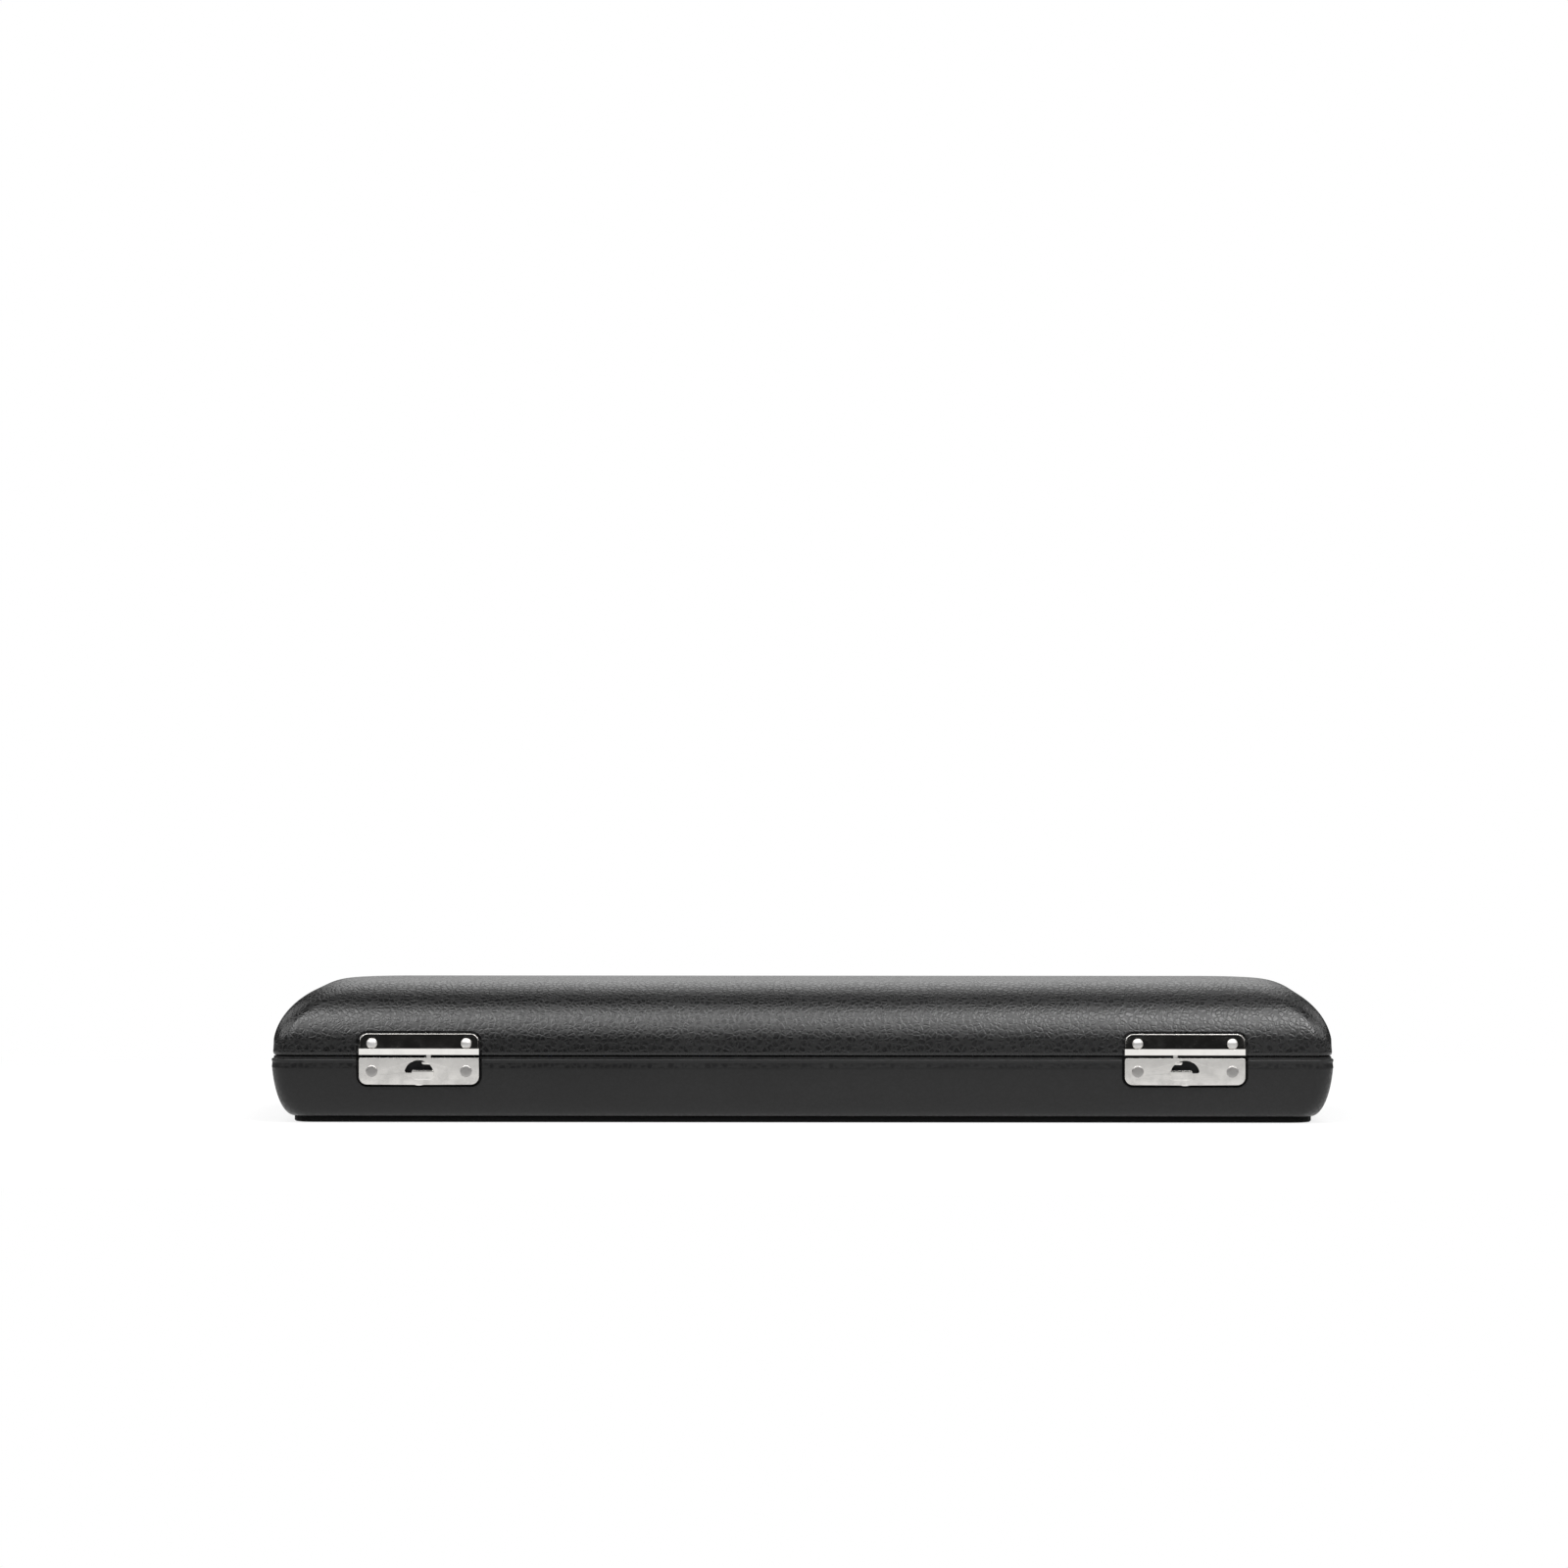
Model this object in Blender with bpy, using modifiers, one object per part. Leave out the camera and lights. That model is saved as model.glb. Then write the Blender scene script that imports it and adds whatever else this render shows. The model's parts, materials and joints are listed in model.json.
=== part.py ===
"""Piccolo case: a rounded, leather-covered box in two halves, with two slide latches and two hinges.

Metres, +Z up. X runs along the case, -Y is the front with the latches, +Y is the back with the
hinges. The origin is under the middle of the closed case, on the surface that it stands on.
A latch is drawn once in its own measures: u runs from its middle towards the middle of the case.
"""

import math

import bmesh
import bpy
from mathutils import Matrix, Vector

# Outside of the closed case
CASE_LENGTH = 0.380
CASE_DEPTH = 0.097
CASE_HEIGHT = 0.0498
RIM_SHARE = 0.48
PARTING_GAP = 0.0008
LID_SETBACK = 0.0005
PLAN_CORNER = 0.0072
INNER_CORNER = 0.006
HARDWARE_REACH = 0.0017

# Rounding of the sides: how far in it reaches, and what it leaves of each half's height
BASE_ROUND_ACROSS = 0.0076
BASE_ROUND_REST = 0.002
LID_ROUND_ACROSS = 0.0273
LID_ROUND_REST = 0.0022

# How much the plan corner of the lid grows for each metre that its side is drawn in
LID_CORNER_GROWTH = 0.45

# Walls and covering
LEATHER = 0.001
RIM_EDGE_ROUND = 0.0006
BEAD_HEIGHT = 0.0013
GROOVE_DEPTH = 0.00025
GROOVE_HEIGHT = 0.0004
WALL = 0.0055
FLOOR = 0.0036
CEILING = 0.003
PANEL_THICKNESS = 0.0019
PANEL_INSET = 0.0008
SEAT_GAP = 0.0003
RIVET_GAP = 0.0001
SMALLEST_CORNER = 0.0012
PANEL_EDGE_ROUND = 0.0004

# Linings and bed
LINING_BOARD = 0.0015
VALANCE_RISE = 0.004
VALANCE_PLAY = 0.0005
VALANCE_EDGE_ROUND = 0.0006
FLOOR_PAD = 0.0017
BED_DROP = 0.0015
BED_EDGE_ROUND = 0.002
END_BLOCK = 0.011
DIVIDER = 0.008
SADDLE_LENGTH = 0.010
SADDLE_DROP = 0.002
JOINT_NOTCH_RADIUS = 0.0095
ROD_NOTCH_RADIUS = 0.0048
NOTCH_FLOOR = 0.0015
LID_LINING = 0.0008
LID_PAD_SHARE = 0.408
PAD_CROWN = 0.0018

# Latches: a drop is measured down from the rim of the base and a rise up from it
LATCH_WIDTH = 0.0429
LATCH_DROP = 0.0004
LATCH_HEIGHT = 0.0095
LATCH_CORNER = 0.0029
CASE_PLATE = 0.0009
CASE_WALL = 0.0006
BACK_PLATE = 0.0005
SLIDER_PLATE = 0.0012
TAB_PLATE = 0.0007
SEAT_MARGIN = 0.0006
RIVET_INSET = 0.0046
CASE_RIVET_DROP = 0.0051
CASE_RIVET_HEAD = 0.0021
HOOK_RIVET_HEAD = 0.0016
RIVET_HEAD_RISE = 0.0006
HOOK_RIVET_RISE = 0.0013
RIVET_SHANK = 0.0009
RIVET_PLAY = 0.00015
RIVET_GRIP = 0.0023
WINDOW_HALF_WIDTH = 0.0051
WINDOW_DROP = 0.0057
WINDOW_HEIGHT = 0.0045
WINDOW_STEPS = 10
NUB_WIDTH = 0.003
NUB_DROP = 0.00035
NUB_STEPS = 6
PLATE_EDGE = 0.0003
SLIDE_TRAVEL = 0.0022
BARB_LENGTH = 0.0017
TONGUE_WIDTH = 0.0016
TONGUE_EDGE = 0.0042
BARB_HEIGHT = 0.0011
TONGUE_DROP = 0.0028
NOSE_HEIGHT = 0.0009
NOSE_BEVEL = 0.0006
BARB_BEVEL = 0.0005
BAND_DROP = 0.0085
BAND_HEIGHT = 0.0029
ARM_WIDTH = 0.0026
WINDOW_PLAY = 0.0004
STEM_THICKNESS = 0.00045
STEM_DROP = 0.0049
STEM_BITE = 0.0004
TAB_RIGHT = 0.0053
TAB_DROP = 0.0048
TAB_HEIGHT = 0.0034
TAB_CORNER = 0.0016
SPRING_ROOM = 0.0048
SPRING_POST = 0.0007
SPRING_POST_INSET = 0.0030
SPRING_WIRE_RADIUS = 0.0002
SPRING_HALF_SWING = 0.0009
SPRING_LIMBS = 5
LIP_RISE = 0.0007
LIP_HEIGHT = 0.0022
LIP_DEPTH = 0.0014
LIP_EDGE_ROUND = 0.00035
TONGUE_RISE = 0.0022
HOOK_PLATE = 0.0008
HOOK_PLATE_RISE = 0.0082
HOOK_PLATE_PROUD = 0.0002
HOOK_PLATE_CORNER = 0.003
HOOK_RIVET_UP = 0.0047
ROLL_RADIUS = 0.00045
ROLL_INSET = 0.0001
ROLL_DEPTH = 0.0003
ROLL_START = 0.0009

# Hinges
HINGE_WIDTH = 0.024
HINGE_LEAF = 0.0008
LEAF_HEIGHT = 0.0072
LEAF_CORNER = 0.0015
KNUCKLE_RADIUS = 0.0013
PIN_RADIUS = 0.0006
PIN_PLAY = 0.0001
LID_KNUCKLE = 0.008
STOP_REACH = 0.0021
STOP_THICKNESS = 0.0008
OPEN_ANGLE = math.radians(100)
HINGE_RIVET_INSET = 0.0045
HINGE_RIVET_OFFSET = 0.0046
HINGE_RIVET_HEAD = 0.0015
STOP_PLAY = 0.0001
CUT_OVERRUN = 0.004

# How the lid pad's underside falls: share of its half width from the edge, share of the crown
PAD_CROWN_SHARES = ((0.06, 0.35), (0.16, 0.62), (0.34, 0.85), (0.60, 0.97), (0.85, 1.0))

# Shares of the case's length: from latch to latch, and from hinge to hinge
SPACING_SHARES = {"latches": 0.719, "hinges": 0.719}

# Shares of the bed's length for the long places, and of a place's length up to its saddles
PLACE_SHARES = {"body_joint": 0.598, "rod": 0.624, "saddle": 0.18}

# How the depth of the bed is shared out, from its front to its back; the rear rail has the rest
BED_SHARES = {
    "front_rail": 0.101,
    "joint_channel": 0.3535,
    "centre_rail": 0.1136,
    "rod_channel": 0.2778,
}

# Counts of facets
CORNER_STEPS = 5
BASE_ROUND_STEPS = 7
LID_ROUND_STEPS = 9
ARC_STEPS = 4
NOTCH_STEPS = 10
RIVET_STEPS = 12
KNUCKLE_STEPS = 16
SPRING_POINTS_PER_LIMB = 5

# Levels that follow from the sizes above
RIM_HEIGHT = CASE_HEIGHT * RIM_SHARE
RIVET_SPACING = LATCH_WIDTH - 2 * RIVET_INSET
HINGE_RIVET_SPACING = HINGE_WIDTH - 2 * HINGE_RIVET_INSET
SLIDER_TAIL = RIVET_SPACING / 2 - SPRING_POST_INSET - SPRING_ROOM
LATCH_SPACING = CASE_LENGTH * SPACING_SHARES["latches"]
HINGE_SPACING = CASE_LENGTH * SPACING_SHARES["hinges"]
BASE_ROUND_HEIGHT = RIM_HEIGHT - BASE_ROUND_REST
LID_LOW = RIM_HEIGHT + PARTING_GAP
LID_ROUND_HEIGHT = CASE_HEIGHT - LID_LOW - LID_ROUND_REST
LID_ROUND_START = CASE_HEIGHT - LID_ROUND_HEIGHT
PARTING_MIDDLE = RIM_HEIGHT + PARTING_GAP / 2
COVER = LEATHER + SEAT_GAP
UNDERSIDE = PANEL_THICKNESS + SEAT_GAP
INSIDE_FLOOR = UNDERSIDE + COVER + FLOOR
PAD_TOP = INSIDE_FLOOR + SEAT_GAP + FLOOR_PAD
BED_LOW = PAD_TOP + SEAT_GAP
BED_TOP = RIM_HEIGHT - BED_DROP
VALANCE_TOP = RIM_HEIGHT + VALANCE_RISE
INNER_INSET = COVER + WALL
VALANCE_INSET = INNER_INSET + SEAT_GAP
BED_INSET = VALANCE_INSET + LINING_BOARD + SEAT_GAP
BED_HALF_LENGTH = CASE_LENGTH / 2 - BED_INSET
BED_HALF_DEPTH = CASE_DEPTH / 2 - BED_INSET
LID_INNER_INSET = VALANCE_INSET - LID_SETBACK - VALANCE_PLAY
LINING_LOW = VALANCE_TOP + SEAT_GAP
PAD_CEILING = CASE_HEIGHT - COVER - CEILING - SEAT_GAP
PAD_EDGE = PAD_CEILING - (PAD_CEILING - LINING_LOW) * LID_PAD_SHARE
LINING_TOP = PAD_EDGE - SEAT_GAP
LATCH_TOP = RIM_HEIGHT - LATCH_DROP
LATCH_BOTTOM = LATCH_TOP - LATCH_HEIGHT
CASE_RIVET_HEIGHT = RIM_HEIGHT - CASE_RIVET_DROP
WINDOW_BOTTOM = RIM_HEIGHT - WINDOW_DROP
TONGUE_LOW = RIM_HEIGHT - TONGUE_DROP
BAND_LOW = RIM_HEIGHT - BAND_DROP
STEM_TOP = RIM_HEIGHT - STEM_DROP
TAB_TOP = RIM_HEIGHT - TAB_DROP
TAB_LOW = TAB_TOP - TAB_HEIGHT
LIP_LOW = RIM_HEIGHT + LIP_RISE
TONGUE_ROOT = RIM_HEIGHT + TONGUE_RISE
HOOK_PLATE_TOP = RIM_HEIGHT + HOOK_PLATE_RISE
HOOK_PLATE_FRONT = CASE_DEPTH / 2 + HOOK_PLATE_PROUD
HOOK_RIVET_HEIGHT = RIM_HEIGHT + HOOK_RIVET_UP
LATCH_REACH = CASE_DEPTH / 2 + HARDWARE_REACH
CASE_FRONT = LATCH_REACH - TAB_PLATE - SEAT_GAP
CASE_INNER = CASE_FRONT - CASE_PLATE
SLIDER_FRONT = CASE_INNER - SEAT_GAP
SLIDER_BACK = SLIDER_FRONT - SLIDER_PLATE
BACK_PLATE_FRONT = SLIDER_BACK - SEAT_GAP
LATCH_SEAT = BACK_PLATE_FRONT - BACK_PLATE - SEAT_GAP
STEM_RIGHT = WINDOW_HALF_WIDTH - WINDOW_PLAY
STEM_LEFT = STEM_RIGHT - SLIDE_TRAVEL
BARB_TOP = TONGUE_LOW + BARB_HEIGHT
NOSE_LOW = BARB_TOP + SEAT_GAP
TONGUE_INNER_EDGE = TONGUE_EDGE - TONGUE_WIDTH
HINGE_AXIS_Y = CASE_DEPTH / 2 + HARDWARE_REACH - STOP_REACH
LEAF_INNER = HINGE_AXIS_Y - KNUCKLE_RADIUS
LEAF_OUTER = LEAF_INNER + HINGE_LEAF
HINGE_SEAT = LEAF_INNER - SEAT_GAP
KNUCKLE_REACH = KNUCKLE_RADIUS + SEAT_GAP

# Colours of the finishes: red, green, blue, then roughness and metallic
FINISHES = {
    "leather": ((0.018, 0.018, 0.019), 0.42, 0.0),
    "board": ((0.30, 0.20, 0.12), 0.75, 0.0),
    "panel": ((0.010, 0.010, 0.011), 0.60, 0.0),
    "plush": ((0.030, 0.038, 0.085), 0.95, 0.0),
    "nickel": ((0.82, 0.81, 0.79), 0.18, 1.0),
    "spring_steel": ((0.55, 0.55, 0.56), 0.30, 1.0),
}


def clear_scene():
    """Removes every object of the file that is open."""
    for obj in list(bpy.data.objects):
        bpy.data.objects.remove(obj, do_unlink=True)


def new_collection(name):
    """A collection under the scene's own."""
    collection = bpy.data.collections.new(name)
    bpy.context.scene.collection.children.link(collection)
    return collection


def dress(obj, finish):
    """Gives an object a material of its own in one of the finishes."""
    colour, roughness, metallic = FINISHES[finish]
    material = bpy.data.materials.new(f"{obj.name}_{finish}")
    material.use_nodes = True
    shader = material.node_tree.nodes["Principled BSDF"]
    shader.inputs["Base Color"].default_value = (*colour, 1.0)
    shader.inputs["Roughness"].default_value = roughness
    shader.inputs["Metallic"].default_value = metallic
    material.diffuse_color = (*colour, 1.0)
    obj.data.materials.clear()
    obj.data.materials.append(material)


class Workshop:
    """Keeps the two collections and files each new object in one of them."""

    def __init__(self):
        self.parts = new_collection("piccolo_case")
        self.tools = new_collection("cutters")

    def part(self, obj, finish, parent=None):
        """Files a finished piece, with its material and the empty that it turns or slides with."""
        self.parts.objects.link(obj)
        dress(obj, finish)
        if parent:
            obj.parent = parent
            obj.matrix_parent_inverse = Matrix.Translation(parent.location).inverted()
        return obj

    def tool(self, obj):
        """Files a piece that only cuts, or joins into, another one."""
        self.tools.objects.link(obj)
        obj.hide_render = True
        obj.display_type = "WIRE"
        return obj

    def axis(self, name, place):
        """An empty on a joint's axis."""
        empty = bpy.data.objects.new(name, None)
        empty.location = place
        self.parts.objects.link(empty)
        return empty

    def cut(self, obj, *cutters):
        """Takes each cutter out of the object."""
        for cutter in cutters:
            self.combine(obj, cutter, "DIFFERENCE")

    def join(self, obj, *pieces):
        """Joins each piece into the object as one body."""
        for piece in pieces:
            self.combine(obj, piece, "UNION")

    def combine(self, obj, other, operation):
        """One Boolean between an object and a filed tool."""
        modifier = obj.modifiers.new(f"{operation.lower()}_{other.name}", "BOOLEAN")
        modifier.operation = operation
        modifier.solver = "EXACT"
        modifier.object = other


def arc(centre_x, centre_y, radius, start, end, steps=ARC_STEPS):
    """Points along an arc, both ends among them; the angles are in degrees."""
    turns = [math.radians(start + (end - start) * i / steps) for i in range(steps + 1)]
    return [(centre_x + radius * math.cos(t), centre_y + radius * math.sin(t)) for t in turns]


def rounded_outline(left, low, right, high, low_radius, high_radius, steps=ARC_STEPS):
    """A rectangle with one radius on its two lower corners and one on its two upper ones."""
    points = []
    for corner_x, corner_y, sign_x, sign_y, start in (
        (right, high, -1, -1, 0),
        (left, high, 1, -1, 90),
        (left, low, 1, 1, 180),
        (right, low, -1, 1, 270),
    ):
        radius = low_radius if sign_y > 0 else high_radius
        if radius > 0:
            centre = (corner_x + sign_x * radius, corner_y + sign_y * radius)
            points += arc(*centre, radius, start, start + 90, steps)
        else:
            points.append((corner_x, corner_y))
    return points


def circle(x, y, radius, steps=RIVET_STEPS):
    """A closed round outline."""
    return arc(x, y, radius, 0, 360, steps)[:-1]


def mesh_object(name, bm):
    """An object that holds a bmesh, with its faces turned outwards."""
    bmesh.ops.recalc_face_normals(bm, faces=bm.faces)
    mesh = bpy.data.meshes.new(name)
    bm.to_mesh(mesh)
    bm.free()
    return bpy.data.objects.new(name, mesh)


def box(name, low, high):
    """A block between two corners, with its origin in its middle."""
    low, high = Vector(low), Vector(high)
    bm = bmesh.new()
    bmesh.ops.create_cube(bm, size=1, matrix=Matrix.Diagonal((*(high - low), 1)))
    obj = mesh_object(name, bm)
    obj.location = (low + high) / 2
    return obj


def rod(name, radius, start, end, steps):
    """A cylinder along X between two points, with a flat and not an edge facing Y."""
    start, end = Vector(start), Vector(end)
    turn = Matrix.Rotation(math.pi / 2, 4, "Y") @ Matrix.Rotation(math.pi / steps, 4, "Z")
    bm = bmesh.new()
    bmesh.ops.create_cone(
        bm,
        cap_ends=True,
        segments=steps,
        radius1=radius,
        radius2=radius,
        depth=(end - start).length,
        matrix=turn,
    )
    obj = mesh_object(name, bm)
    obj.location = (start + end) / 2
    return obj


def as_mesh(obj):
    """Turns a curve object into a welded mesh object of the same name and place."""
    name = obj.name
    bpy.context.scene.collection.objects.link(obj)
    bpy.context.view_layer.update()
    graph = bpy.context.evaluated_depsgraph_get()
    mesh = bpy.data.meshes.new_from_object(obj.evaluated_get(graph))
    place = obj.matrix_world.copy()
    bpy.data.objects.remove(obj, do_unlink=True)
    bm = bmesh.new()
    bm.from_mesh(mesh)
    bpy.data.meshes.remove(mesh)
    bmesh.ops.remove_doubles(bm, verts=bm.verts, dist=SEAT_GAP / 100)
    solid = mesh_object(name, bm)
    solid.matrix_world = place
    return solid


FACING_FRONT = (math.pi / 2, 0, 0)
FACING_END = (math.pi / 2, 0, math.pi / 2)


def plate(name, outlines, thickness, place, rotation=FACING_FRONT):
    """A flat plate from closed outlines, the first its edge and the others its holes.

    FACING_FRONT lays the outlines in X and Z, FACING_END lays them in Y and Z.
    """
    curve = bpy.data.curves.new(name, "CURVE")
    curve.dimensions = "2D"
    curve.fill_mode = "BOTH"
    curve.extrude = thickness / 2
    for outline in outlines:
        spline = curve.splines.new("POLY")
        spline.points.add(len(outline) - 1)
        for point, (x, y) in zip(spline.points, outline):
            point.co = (x, y, 0, 1)
        spline.use_cyclic_u = True
    obj = bpy.data.objects.new(name, curve)
    obj.location = place
    obj.rotation_euler = rotation
    return as_mesh(obj)


def turned(name, profile, steps):
    """A turned piece about Z from a profile at +X that runs from its top to its bottom."""
    bm = bmesh.new()
    verts = [bm.verts.new((radius, 0, height)) for radius, height in profile]
    for first, second in zip(verts, verts[1:]):
        bm.edges.new((first, second))
    mesh = bpy.data.meshes.new(name)
    bm.to_mesh(mesh)
    bm.free()
    obj = bpy.data.objects.new(name, mesh)
    screw = obj.modifiers.new("turn", "SCREW")
    screw.steps = steps
    screw.render_steps = steps
    screw.use_merge_vertices = True
    screw.merge_threshold = SEAT_GAP / 100
    return obj


def ring(half_x, half_y, radius, height):
    """One level of a loft: a rounded rectangle about the Z axis."""
    radius = min(max(radius, SMALLEST_CORNER), half_x, half_y)
    outline = rounded_outline(
        -half_x, -half_y, half_x, half_y, radius, radius, CORNER_STEPS
    )
    return [(x, y, height) for x, y in outline]


def loft(name, rings, closed=False):
    """A solid through rings of equal count, capped at both ends or closed into a frame."""
    bm = bmesh.new()
    levels = [[bm.verts.new(point) for point in points] for points in rings]
    pairs = list(zip(levels, levels[1:]))
    if closed:
        pairs.append((levels[-1], levels[0]))
    else:
        bm.faces.new(levels[0])
        bm.faces.new(levels[-1])
    for lower, upper in pairs:
        for i in range(len(lower)):
            j = (i + 1) % len(lower)
            bm.faces.new((lower[i], lower[j], upper[j], upper[i]))
    return mesh_object(name, bm)


def gather(name, objects):
    """Puts separate solids into one object, for a single Boolean."""
    bm = bmesh.new()
    bpy.context.view_layer.update()
    for obj in objects:
        place = Matrix.LocRotScale(obj.location, obj.rotation_euler, obj.scale)
        mesh = obj.data.copy()
        mesh.transform(place)
        bm.from_mesh(mesh)
        bpy.data.meshes.remove(mesh)
        bpy.data.objects.remove(obj, do_unlink=True)
    return mesh_object(name, bm)


def base_level(inset, height, corner=None):
    """A ring of the base, drawn in by an inset from its widest outline."""
    corner = PLAN_CORNER - inset if corner is None else corner
    return ring(CASE_LENGTH / 2 - inset, CASE_DEPTH / 2 - inset, corner, height)


def lid_level(inset, height, corner=None):
    """A ring of the lid, drawn in by an inset from its widest outline."""
    corner = PLAN_CORNER - inset if corner is None else corner
    half_length = CASE_LENGTH / 2 - LID_SETBACK - inset
    half_depth = CASE_DEPTH / 2 - LID_SETBACK - inset
    return ring(half_length, half_depth, corner, height)


def lid_corner(radius, drawn_in):
    """The plan corner of the lid where its side is drawn in, from its radius at the parting."""
    return radius + LID_CORNER_GROWTH * drawn_in


def base_side(offset, low):
    """Rings down the rounded side of the base, parallel to its outside, to a flat at a height."""
    reach = BASE_ROUND_ACROSS - offset
    fall = BASE_ROUND_HEIGHT - offset
    last = math.asin(min((RIM_HEIGHT - low) / fall, 1))
    rings = []
    for step in range(1, BASE_ROUND_STEPS + 1):
        turn = last * step / BASE_ROUND_STEPS
        inset = BASE_ROUND_ACROSS - reach * math.cos(turn)
        rings.append(base_level(inset, RIM_HEIGHT - fall * math.sin(turn), PLAN_CORNER - offset))
    return rings


def lid_side(offset):
    """Rings up the rounded side of the lid, parallel to its outside, to its flat top."""
    reach = LID_ROUND_ACROSS - offset
    rise = LID_ROUND_HEIGHT - offset
    rings = []
    for step in range(LID_ROUND_STEPS + 1):
        turn = math.pi / 2 * step / LID_ROUND_STEPS
        inset = LID_ROUND_ACROSS - reach * math.cos(turn)
        height = LID_ROUND_START + rise * math.sin(turn)
        drawn_in = LID_ROUND_ACROSS * (1 - math.cos(turn))
        corner = lid_corner(PLAN_CORNER - offset * math.cos(turn), drawn_in)
        rings.append(lid_level(inset, height, corner))
    return rings


def latch_sides():
    """The two latches: name, place along X and the sign of u along X."""
    return (("left", -LATCH_SPACING / 2, 1), ("right", LATCH_SPACING / 2, -1))


def across(side, points):
    """Lays an outline given in a latch's u on the side's X."""
    name, place, sign = side
    return [(place + sign * u, height) for u, height in points]


def base_leather():
    """The covering of the base, over its rim and down to the inner wall, with a bead on the rim."""
    bead_low = RIM_HEIGHT - BEAD_HEIGHT
    groove_low = bead_low - GROOVE_HEIGHT
    half_round = RIM_EDGE_ROUND * (1 - math.sqrt(0.5))
    outside = list(reversed(base_side(0, UNDERSIDE)[1:]))
    edge = [
        base_level(0, groove_low - GROOVE_DEPTH),
        base_level(GROOVE_DEPTH, groove_low),
        base_level(GROOVE_DEPTH, bead_low),
        base_level(0, bead_low + GROOVE_DEPTH),
        base_level(0, RIM_HEIGHT - RIM_EDGE_ROUND),
        base_level(half_round, RIM_HEIGHT - half_round),
        base_level(RIM_EDGE_ROUND, RIM_HEIGHT),
        base_level(INNER_INSET, RIM_HEIGHT, INNER_CORNER),
        base_level(INNER_INSET, RIM_HEIGHT - LEATHER, INNER_CORNER),
        base_level(LEATHER, RIM_HEIGHT - LEATHER),
    ]
    inside = base_side(LEATHER, UNDERSIDE + LEATHER)
    return loft("base_leather", outside + edge + inside)


def base_shell():
    """The board carcass of the base."""
    rim = RIM_HEIGHT - COVER
    outside = list(reversed(base_side(COVER, UNDERSIDE + COVER)))
    walls = [
        base_level(COVER, rim),
        base_level(INNER_INSET, rim, INNER_CORNER),
        base_level(INNER_INSET, INSIDE_FLOOR, INNER_CORNER),
    ]
    return loft("base_shell", outside + walls)


def bottom_inset():
    """How far the flat underside of the base is drawn in."""
    share = (RIM_HEIGHT - UNDERSIDE) / BASE_ROUND_HEIGHT
    return BASE_ROUND_ACROSS * (1 - math.sqrt(max(1 - share * share, 0)))


def base_bottom_panel():
    """The thin panel under the base, on which the case stands."""
    inset = bottom_inset() + PANEL_INSET
    levels = ((PANEL_EDGE_ROUND, 0), (0, PANEL_EDGE_ROUND), (0, PANEL_THICKNESS))
    rings = [base_level(inset + step, z, PLAN_CORNER) for step, z in levels]
    return loft("base_bottom_panel", rings)


def base_valance():
    """The lining board round the inside of the base, which stands up into the lid."""
    edge = VALANCE_EDGE_ROUND
    levels = (
        (0, BED_LOW),
        (0, VALANCE_TOP - edge),
        (edge, VALANCE_TOP),
        (LINING_BOARD - edge, VALANCE_TOP),
        (LINING_BOARD, VALANCE_TOP - edge),
        (LINING_BOARD, BED_LOW),
    )
    corner = INNER_CORNER - SEAT_GAP
    rings = [base_level(VALANCE_INSET + step, z, corner - step) for step, z in levels]
    return loft("base_valance", rings, closed=True)


def base_floor_pad():
    """The padded board on the floor of the base."""
    corner = INNER_CORNER - SEAT_GAP
    levels = (INSIDE_FLOOR + SEAT_GAP, PAD_TOP)
    return loft("base_floor_pad", [base_level(VALANCE_INSET, z, corner) for z in levels])


def long_rail(name, front, back, left, right):
    """A covered rail along X with a rounded top."""
    outline = rounded_outline(front, BED_LOW, back, BED_TOP, 0, BED_EDGE_ROUND)
    return plate(name, [outline], right - left, ((left + right) / 2, 0, 0), FACING_END)


def end_block(name, sign):
    """A covered block across one end of the bed, its outer corners rounded to the valance."""
    inner = BED_HALF_LENGTH - END_BLOCK
    half_round = BED_EDGE_ROUND * (1 - math.sqrt(0.5))
    rings = []
    for height, inset in (
        (BED_LOW, 0),
        (BED_TOP - BED_EDGE_ROUND, 0),
        (BED_TOP - half_round, half_round),
        (BED_TOP, BED_EDGE_ROUND),
    ):
        half_depth = BED_HALF_DEPTH - inset
        outline = rounded_outline(
            -half_depth,
            inner + inset,
            half_depth,
            BED_HALF_LENGTH - inset,
            SMALLEST_CORNER,
            INNER_CORNER - inset,
        )
        rings.append([(sign * x, y, height) for y, x in outline])
    return loft(name, rings)


def cross_block(name, left, right, front, back, top):
    """A covered block across a channel with a rounded top."""
    outline = rounded_outline(left, BED_LOW, right, top, 0, BED_EDGE_ROUND)
    return plate(name, [outline], back - front, (0, (front + back) / 2, 0))


def saddle(name, middle_x, front, back, notch):
    """A covered block across a channel, with a round notch that a tube lies in."""
    middle = (front + back) / 2
    top = BED_TOP - SADDLE_DROP
    notch_start = middle + notch
    points = [(front, BED_LOW), (back, BED_LOW), (back, top), (notch_start, top)]
    bottom = max(BED_LOW + NOTCH_FLOOR, top - notch)
    depth = top - bottom
    turns = [math.pi * step / NOTCH_STEPS for step in range(1, NOTCH_STEPS)]
    points += [(middle + notch * math.cos(t), top - depth * math.sin(t)) for t in turns]
    points += [(middle - notch, top), (front, top)]
    return plate(name, [points], SADDLE_LENGTH, (middle_x, 0, 0), FACING_END)


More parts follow.
